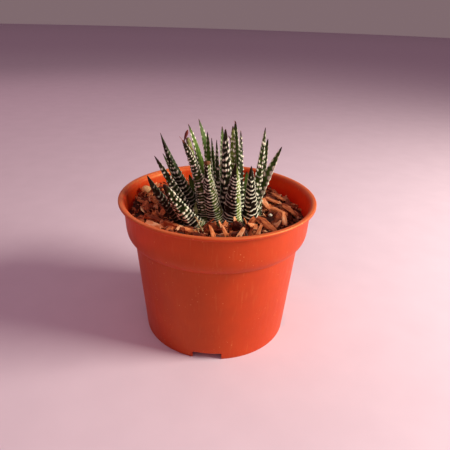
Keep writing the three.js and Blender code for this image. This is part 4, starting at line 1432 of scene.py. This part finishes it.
    def build(self, finish: Finish, clumps: LeafClumps) -> None:
        """Makes the cover as one piece in place of its solid."""
        boxes, turns, places = self.solid_chips(clumps)
        tones = np.clip(0.5 + 0.22 * np.sin(np.arange(len(boxes)) * 2.4), 0, 1)
        middling = self.scatter(
            clumps, self.middle_chips, low=3.0, high=7.5, lift=2.6, tilt=0.9, seed=11)
        crumbs = self.scatter(clumps, self.crumbs, low=1.0, high=3.0, lift=1.6, tilt=1.4, seed=12)
        batches = (
            (ChipGrain(rings=13, corners=20, ragged=0.34, groove=0.26, square=0.55),
             (boxes, turns, places, tones)),
            (ChipGrain(rings=10, corners=14, ragged=0.4, groove=0.22, square=0.6), self.slivers()),
            (ChipGrain(rings=6, corners=8, ragged=0.3, groove=0.16, square=0.6), middling),
            (ChipGrain(rings=5, corners=6, ragged=0.2, groove=0.1, square=0.7), crumbs),
        )
        chips = [grain.skin(*batch, seed=3 + order) for order, (grain, batch) in enumerate(batches)]
        made = self.held_in(Skin.joined([self.bed(), *chips])).to_object("bark_chip_cover", smooth=False)
        place_piece(made, finish.material(), ["chip_cover"])


# ---------------------------------------------------------------- small things on and in the clumps
@dataclass(frozen=True)
class Stone:
    """A worn stone or a perlite grain: an ellipsoid with lumps.

    Attributes:
        name: the piece's name.
        node: the solid that it stands for.
        place: its middle.
        radii: its three half sizes.
        lump: share of the radius by which it is uneven.
        seed: its pattern.
    """

    name: str
    node: str
    place: Point
    radii: Point
    lump: float
    seed: int

    def build(self, finish: Finish, slot: Slot) -> None:
        """Makes the stone: an ellipsoid whose radius goes by two noises of the direction."""
        turn = round_turn(56)[None]
        rise = np.linspace(-math.pi / 2, math.pi / 2, 38)[1:-1, None]
        way = np.stack([np.cos(rise) * np.cos(turn), np.cos(rise) * np.sin(turn),
                        np.sin(rise) + 0 * turn], axis=-1)
        east, north, up = (way[..., axis] for axis in range(3))
        uneven = lattice_noise(east * 1.7 + up, north * 1.7 - up, self.seed)
        fine = lattice_noise(east * 5 + up * 3, north * 5 - up * 3, self.seed + 1)
        reach = 1 + self.lump * (uneven - 1) + 0.3 * self.lump * (fine - 1)
        rings = np.array(self.place) + way * reach[..., None] * np.array(self.radii)
        ends = np.array(self.place) + np.array([[0, 0, -0.97], [0, 0, 0.97]]) * np.array(self.radii)
        made = Skin.tubes(rings, ends).to_object(self.name)
        place_piece(made, finish.material(), [self.node])


@dataclass
class FlowerStalk:
    """The cut flower stalk with the dry bract at its top.

    Attributes:
        points: the stalk's course.
        radius, ribs: its radius and its number of ribs.
        bract_base: place of the bract's foot.
        bract_lean: angle off the vertical at the bract's foot and at its end, towards +X.
        bract_length, bract_width, bract_thickness: sizes of the bract.
    """

    points: Course = (
        (-5.3, -4.7, 74.6), (-10.4, -4.2, 90.0), (-15.8, -4.0, 109.3))
    radius: float = 1.3
    ribs: int = 7
    bract_base: Point = (-17.7, -4.4, 106.4)
    bract_lean: tuple[float, float] = (10.0, 22.0)
    bract_length: float = 7.4
    bract_width: float = 1.8
    bract_thickness: float = 0.45

    def stalk(self) -> Skin:
        """A rod with low ribs that narrows a little and frays open at its cut end."""
        share = np.linspace(0, 1, 90)
        path = curve_through(self.points, 90)
        turn = round_turn(36)
        ribbed = 1 + 0.045 * np.cos(self.ribs * turn)[None] - 0.04
        frayed = 1 - 0.35 * smooth_step(share, 0.955, 1.0)[:, None] * (
            0.4 + 0.6 * lattice_noise(turn * 3.0, 0.5, 9)[None])
        return tube_along(path, self.radius * (1.0 - 0.06 * share), 36, ribbed * frayed)

    def bract(self) -> Skin:
        """A thin dry scale: narrow at its foot, broad above, cupped across and torn at the top.

        Its half width is a fifth of the whole, and the rest times the sine of pi times the share
        squared, which puts the broadest place above the middle. Its edges curl towards the outer
        side by the square of the place across.

        Returns:
            The bract with its "share".
        """
        share = np.linspace(0.0, 1.0, 56)
        lean = np.radians(self.bract_lean[0] + (self.bract_lean[1] - self.bract_lean[0]) * share)
        along = np.stack([np.sin(lean), 0 * lean, np.cos(lean)], axis=-1)
        path = np.array(self.bract_base) + np.cumsum(along, axis=0) * self.bract_length / 56
        half = self.bract_width / 2 * (0.2 + 0.8 * np.sin(math.pi * share**2.0))
        turn = round_turn(28)[None]
        aside = np.cos(turn)
        curl = 0.5 * aside**2 * half[:, None] * (0.4 + 0.8 * share[:, None])
        torn = 0.5 * (lattice_noise(aside * 2.5, 0.3, 21) - 0.5) * smooth_step(share, 0.9, 1.0)[:, None]
        across = np.array([0.96, -0.26, 0.0])
        across = across - (along @ across)[:, None] * along
        out = np.cross(along, across)
        flat = self.bract_thickness / 2 * np.sin(turn) * (1 - 0.4 * share[:, None]) + curl
        rings = (path[:, None] + across[:, None] * (half[:, None] * aside)[..., None]
                 + out[:, None] * flat[..., None] + along[:, None] * torn[..., None])
        ends = np.stack([rings[0].mean(axis=0), rings[-1].mean(axis=0)])
        return Skin.tubes(rings, ends, {"share": share[:, None] + 0 * turn})

    def build(self, stalk_finish: Finish, bract_finish: Finish) -> None:
        """Makes the stalk and the bract in place of their solids."""
        place_piece(self.stalk().to_object("cut_flower_stalk"), stalk_finish.material(),
                    ["flower_stalk"])
        place_piece(self.bract().to_object("dried_bract"), bract_finish.material(),
                    ["dry_bract"])


@dataclass
class Stems:
    """The short stems inside the clumps, ringed by old leaf scars, each with its growing point.

    Attributes:
        radius: radius between the scars.
        foot, top: heights of its ends.
        scar: distance between scars.
    """

    radius: float = 3.0
    foot: float = 58.0
    top: float = 74.0
    scar: float = 1.6

    def column(self, middle: tuple[float, float]) -> Skin:
        """A column whose radius dips at each scar and closes to a dome at the top."""
        share = np.linspace(0, 1, 72)
        height = self.foot + share * (self.top - self.foot)
        path = np.stack([np.full(72, middle[0]), np.full(72, middle[1]), height], axis=-1)
        ringed = 1 - 0.07 * np.abs(np.sin(math.pi * (height - self.foot) / self.scar)) ** 6
        dome = np.sqrt(np.clip(1 - ((height - self.top + 2.0) / 2.0).clip(0) ** 2, 0.02, 1))
        return tube_along(path, self.radius * ringed * dome, 36)

    def heart(self, middle: tuple[float, float], seed: float) -> list[Skin]:
        """Three unopened leaves round the growing point: rods that narrow to a tip."""
        share = np.linspace(0, 1, 20)
        leaves = []
        for turn in seed + np.arange(3) * 2.2:
            side = np.array([math.cos(turn), math.sin(turn), 0])
            foot = np.array([*middle, self.top - 1.5]) + 1.2 * side
            path = foot + share[:, None] * (np.array([0, 0, 4.2]) - 0.5 * side)
            leaves.append(tube_along(path, 1.0 * (1 - share**1.6) + 0.05, 18))
        return leaves

    def build(self, clumps: LeafClumps, finish: Finish) -> None:
        """Makes one stem for each clump."""
        tissue = finish.material()
        for order, (name, middle) in enumerate(clumps.middles.items()):
            skin = Skin.joined([self.column(middle), *self.heart(middle, 0.7 + order)])
            place_piece(skin.to_object(f"ringed_stem_{name}"), tissue, [f"stem_{name}"])


@dataclass
class Litter:
    """Dry plant matter: pale roots and a shrivelled leaf on the bark, and dried leaf tips.

    Attributes:
        roots: course and radius of each root.
        awns: course and radius of each thread that a leaf's tip has dried to.
        strip: course of the shrivelled leaf.
    """

    roots: tuple[tuple[Course, float], ...] = (
        (((-12.7, -11.0, 71.0), (-10.8, -17.2, 71.2), (-9.0, -22.1, 70.4), (-6.8, -27.8, 69.6)), 0.42),
        (((-10.2, -19.5, 71.0), (-8.9, -19.9, 71.1), (-7.6, -19.5, 70.5)), 0.3),
        (((-11.7, -27.0, 69.2), (-9.0, -26.2, 69.8), (-6.4, -24.5, 69.2)), 0.2),
        (((-9.9, -24.7, 69.4), (-9.4, -27.0, 69.8), (-8.7, -29.1, 68.7)), 0.2),
    )
    awns: tuple[tuple[Course, float], ...] = (
        (((-12.5, -9.8, 104.6), (-14.8, -11.2, 107.2), (-16.8, -11.4, 108.8), (-19.2, -11.0, 111.8)), 0.22),
        (((6.0, -3.6, 107.6), (5.6, -3.4, 109.4), (4.6, -3.2, 110.8)), 0.4),
        (((8.3, 4.2, 115.2), (7.6, 4.0, 116.2), (7.4, 3.8, 117.0)), 0.16),
    )
    strip: Course = (
        (-30.8, 9.5, 70.6), (-27.4, 3.9, 70.9), (-23.0, -1.4, 70.3))

    @staticmethod
    def threads(courses: Sequence[tuple[Course, float]], kink: float) -> Skin:
        """Thin rods along their courses, each kinked by a noise and narrowed to its end.

        Args:
            courses: the points and the radius of each thread.
            kink: how far in mm the noise moves it.

        Returns:
            The threads as one skin.
        """
        rods = []
        for points, radius in courses:
            count = 12 * len(points)
            share = np.linspace(0, 1, count)
            moved = lattice_noise(9 * share[:, None], np.arange(3)[None] * 4.0, 55) - 0.5
            path = curve_through(points, count) + kink * moved
            rods.append(tube_along(path, radius * (1 - 0.55 * share), 12))
        return Skin.joined(rods)

    def build(self, root_finish: Finish, strip_finish: Finish, awn_finish: Finish) -> None:
        """Makes the roots, the awns and the shrivelled leaf, each as a piece."""
        roots = self.threads(self.roots, 0.5).to_object("dry_roots")
        place_piece(roots, root_finish.material())
        awns = self.threads(self.awns, 0.2).to_object("dried_leaf_awns")
        place_piece(awns, awn_finish.material())
        path = curve_through(self.strip, 48)
        share = np.linspace(0, 1, 48)
        turn = round_turn(20)
        flat = 0.35 + 0.65 * np.abs(np.cos(turn[None] + 1.5 * share[:, None])) ** 1.5
        skin = tube_along(path, 1.1 * np.sin(math.pi * (0.06 + 0.88 * share)), 20, flat)
        place_piece(skin.to_object("shrivelled_leaf"), strip_finish.material())


@dataclass
class PottingMix:
    """The mix under the bark, which keeps its solid's shape: it is seen only through the holes."""

    def build(self, finish: Finish) -> None:
        """Dresses the solid itself."""
        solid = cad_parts["potting_mix"]
        solid.material_slots[0].link = "OBJECT"
        solid.material_slots[0].material = finish.material()


# ---------------------------------------------------------------- studio
@dataclass
class Studio:
    """A plain pale floor, a soft light from the right, two weak ones to fill, and the camera.

    Attributes:
        place: the camera's place, in metres.
        pitch: degrees that it looks down.
        yaw: degrees that it looks to the right of +Y.
        roll: degrees that it is turned about its own line of sight.
        lens, frame_width: its focal length and the width of its frame, in mm.
        aim: height in metres that the lights face.
        lights: name, azimuth from +X and elevation in degrees, distance and side in metres, power
            in watts and colour of each light.
        room: colour and strength of the light from all round.
    """

    place: Point = (0.0, -0.22564, 0.16683)
    pitch: float = 25.356
    yaw: float = 1.118
    roll: float = 1.867
    lens: float = 36.0
    frame_width: float = 36.0
    aim: float = 0.05
    lights: tuple[tuple[str, float, float, float, float, float, str], ...] = (
        ("window", -10, 27, 0.75, 0.32, 8.6, "#fffbe2"),
        ("fill", -100, 50, 0.9, 0.9, 1.2, "#ffc8cc"),
        ("rear_fill", 125, 42, 1.0, 0.9, 1.2, "#ffdcd8"),
    )
    room: tuple[str, float] = ("#f2ccd4", 0.24)

    @staticmethod
    def stand(
        name: str, data: bpy.types.ID, target: Point, turns: Point, back: float = 0.0
    ) -> bpy.types.Object:
        """Stands a lamp or a camera, which would face straight down, on its bearing from a target.

        Args:
            name: the object's name.
            data: the lamp or the camera.
            target: the target, in metres.
            turns: turns in degrees about its own line of sight, about X and about Z, in this order.
            back: how far it stands back from the target, in metres.

        Returns:
            The object.
        """
        held = bpy.data.objects.new(name, data)
        roll, tip, turn = (math.radians(angle) for angle in turns)
        about_z, about_x, about_sight = (
            Matrix.Rotation(angle, 4, axis) for angle, axis in ((turn, "Z"), (tip, "X"), (roll, "Z")))
        held.matrix_world = (
            Matrix.Translation(target) @ about_z @ about_x @ about_sight
            @ Matrix.Translation((0, 0, back)))
        bpy.context.scene.collection.objects.link(held)
        return held

    def add_camera(self) -> None:
        """Makes the camera."""
        lens = bpy.data.cameras.new("camera")
        lens.lens = self.lens
        lens.sensor_width = self.frame_width
        lens.clip_start = 0.01
        bpy.context.scene.camera = self.stand(
            "camera", lens, self.place, (self.roll, 90 - self.pitch, -self.yaw))

    def add_lights(self) -> None:
        """Makes each square light, facing the plant, and the light from all round."""
        for name, azimuth, elevation, distance, size, power, colour in self.lights:
            lamp = bpy.data.lights.new(name, "AREA")
            lamp.size = size
            lamp.energy = power
            lamp.color = linear(colour)[:3]
            self.stand(name, lamp, (0, 0, self.aim), (0, 90 - elevation, 90 + azimuth), distance)
        world = bpy.data.worlds.new("pale_room")
        world.use_nodes = True
        colour, strength = self.room
        fill(world.node_tree, world.node_tree.nodes["Background"], [linear(colour), strength])
        bpy.context.scene.world = world

    def add_floor(self) -> None:
        """Adds a wide round floor, 10 mm thick, of pale matt card."""
        turn = round_turn(96)
        reach = 1000 * np.array([5.0, 1.5, 0.5, 0.2])[:, None]
        top = np.stack([reach * np.cos(turn), reach * np.sin(turn), 0 * reach * turn], axis=-1)
        sheet = np.concatenate([top[::-1] - [0, 0, 10.0], top])
        ends = np.array([(0, 0, -10.0), (0, 0, 0)], float)
        floor = Skin.tubes(sheet, ends).to_object("studio_floor")
        floor.data.materials.append(Card("matt_card", 0.95, specular=0.08).material())

    def build(self) -> None:
        """Sets up the camera, the floor and the lights."""
        self.add_camera()
        self.add_floor()
        self.add_lights()
        bpy.context.scene.view_settings.view_transform = "Standard"


def main() -> None:
    """Builds the studio and the plant, piece by piece."""
    logging.basicConfig(level=logging.INFO, format="%(name)s: %(message)s")
    Studio().build()
    NurseryPot().build(Polypropylene(
        "polypropylene", 0.48, subsurface=0.3, depth=(5.0, 0.8, 0.3), specular=0.7, gloss="#fff2a0"))
    clumps = LeafClumps()
    clumps.build(LeafSkin(
        "haworthia_skin", 0.46, ior=1.4, subsurface=0.05, depth=(0.6, 0.9, 0.3), specular=0.25))
    BarkCover().build(Bark("pine_bark", 0.85), clumps)
    Stems().build(clumps, DryTissue(
        "stem_tissue", 0.6, stops=((0.0, "#7a6a45"), (0.6, "#8f9a62"), (1.0, "#a3b070"))))
    PottingMix().build(Grit("peat", 0.95))
    Stone("quartz_pebble", "pebble", (-41.2, 16.8, 73.2), (3.0, 2.6, 2.5), 0.12, 61).build(
        Grit("quartzite", 0.6, stops=((0.3, "#cf8f58"), (0.7, "#f2c48e")), grain_mm=1.6, relief_mm=0.15),
        Slot.PEBBLE)
    Stone("perlite_crumb", "perlite_grain", (28.5, -5.6, 69.0), (1.5, 1.3, 1.2), 0.45, 71).build(
        Grit("perlite", 0.8, stops=((0.3, "#cdbfae"), (0.7, "#f2ebdf")), grain_mm=0.6, relief_mm=0.25),
        Slot.PERLITE)
    FlowerStalk().build(
        DryTissue("stalk_tissue", 0.45, stops=((0.0, "#7d9048"), (0.9, "#9db263"), (0.97, "#7a4a24"),
                                               (1.0, "#4a2414"))),
        DryTissue("dry_bract", 0.6, stops=((0.0, "#3f1016"), (0.6, "#6e1f22"), (1.0, "#8a3a2a"))))
    Litter().build(
        DryTissue("dry_root", 0.7, stops=((0.0, "#b08d5e"), (1.0, "#d2b98c"))),
        DryTissue("shrivelled_leaf", 0.6, stops=((0.0, "#5c2a1c"), (1.0, "#8c4a30"))),
        DryTissue("dried_awn", 0.6, stops=((0.0, "#6a2418"), (1.0, "#a04a34"))))


if __name__ == "__main__":
    main()
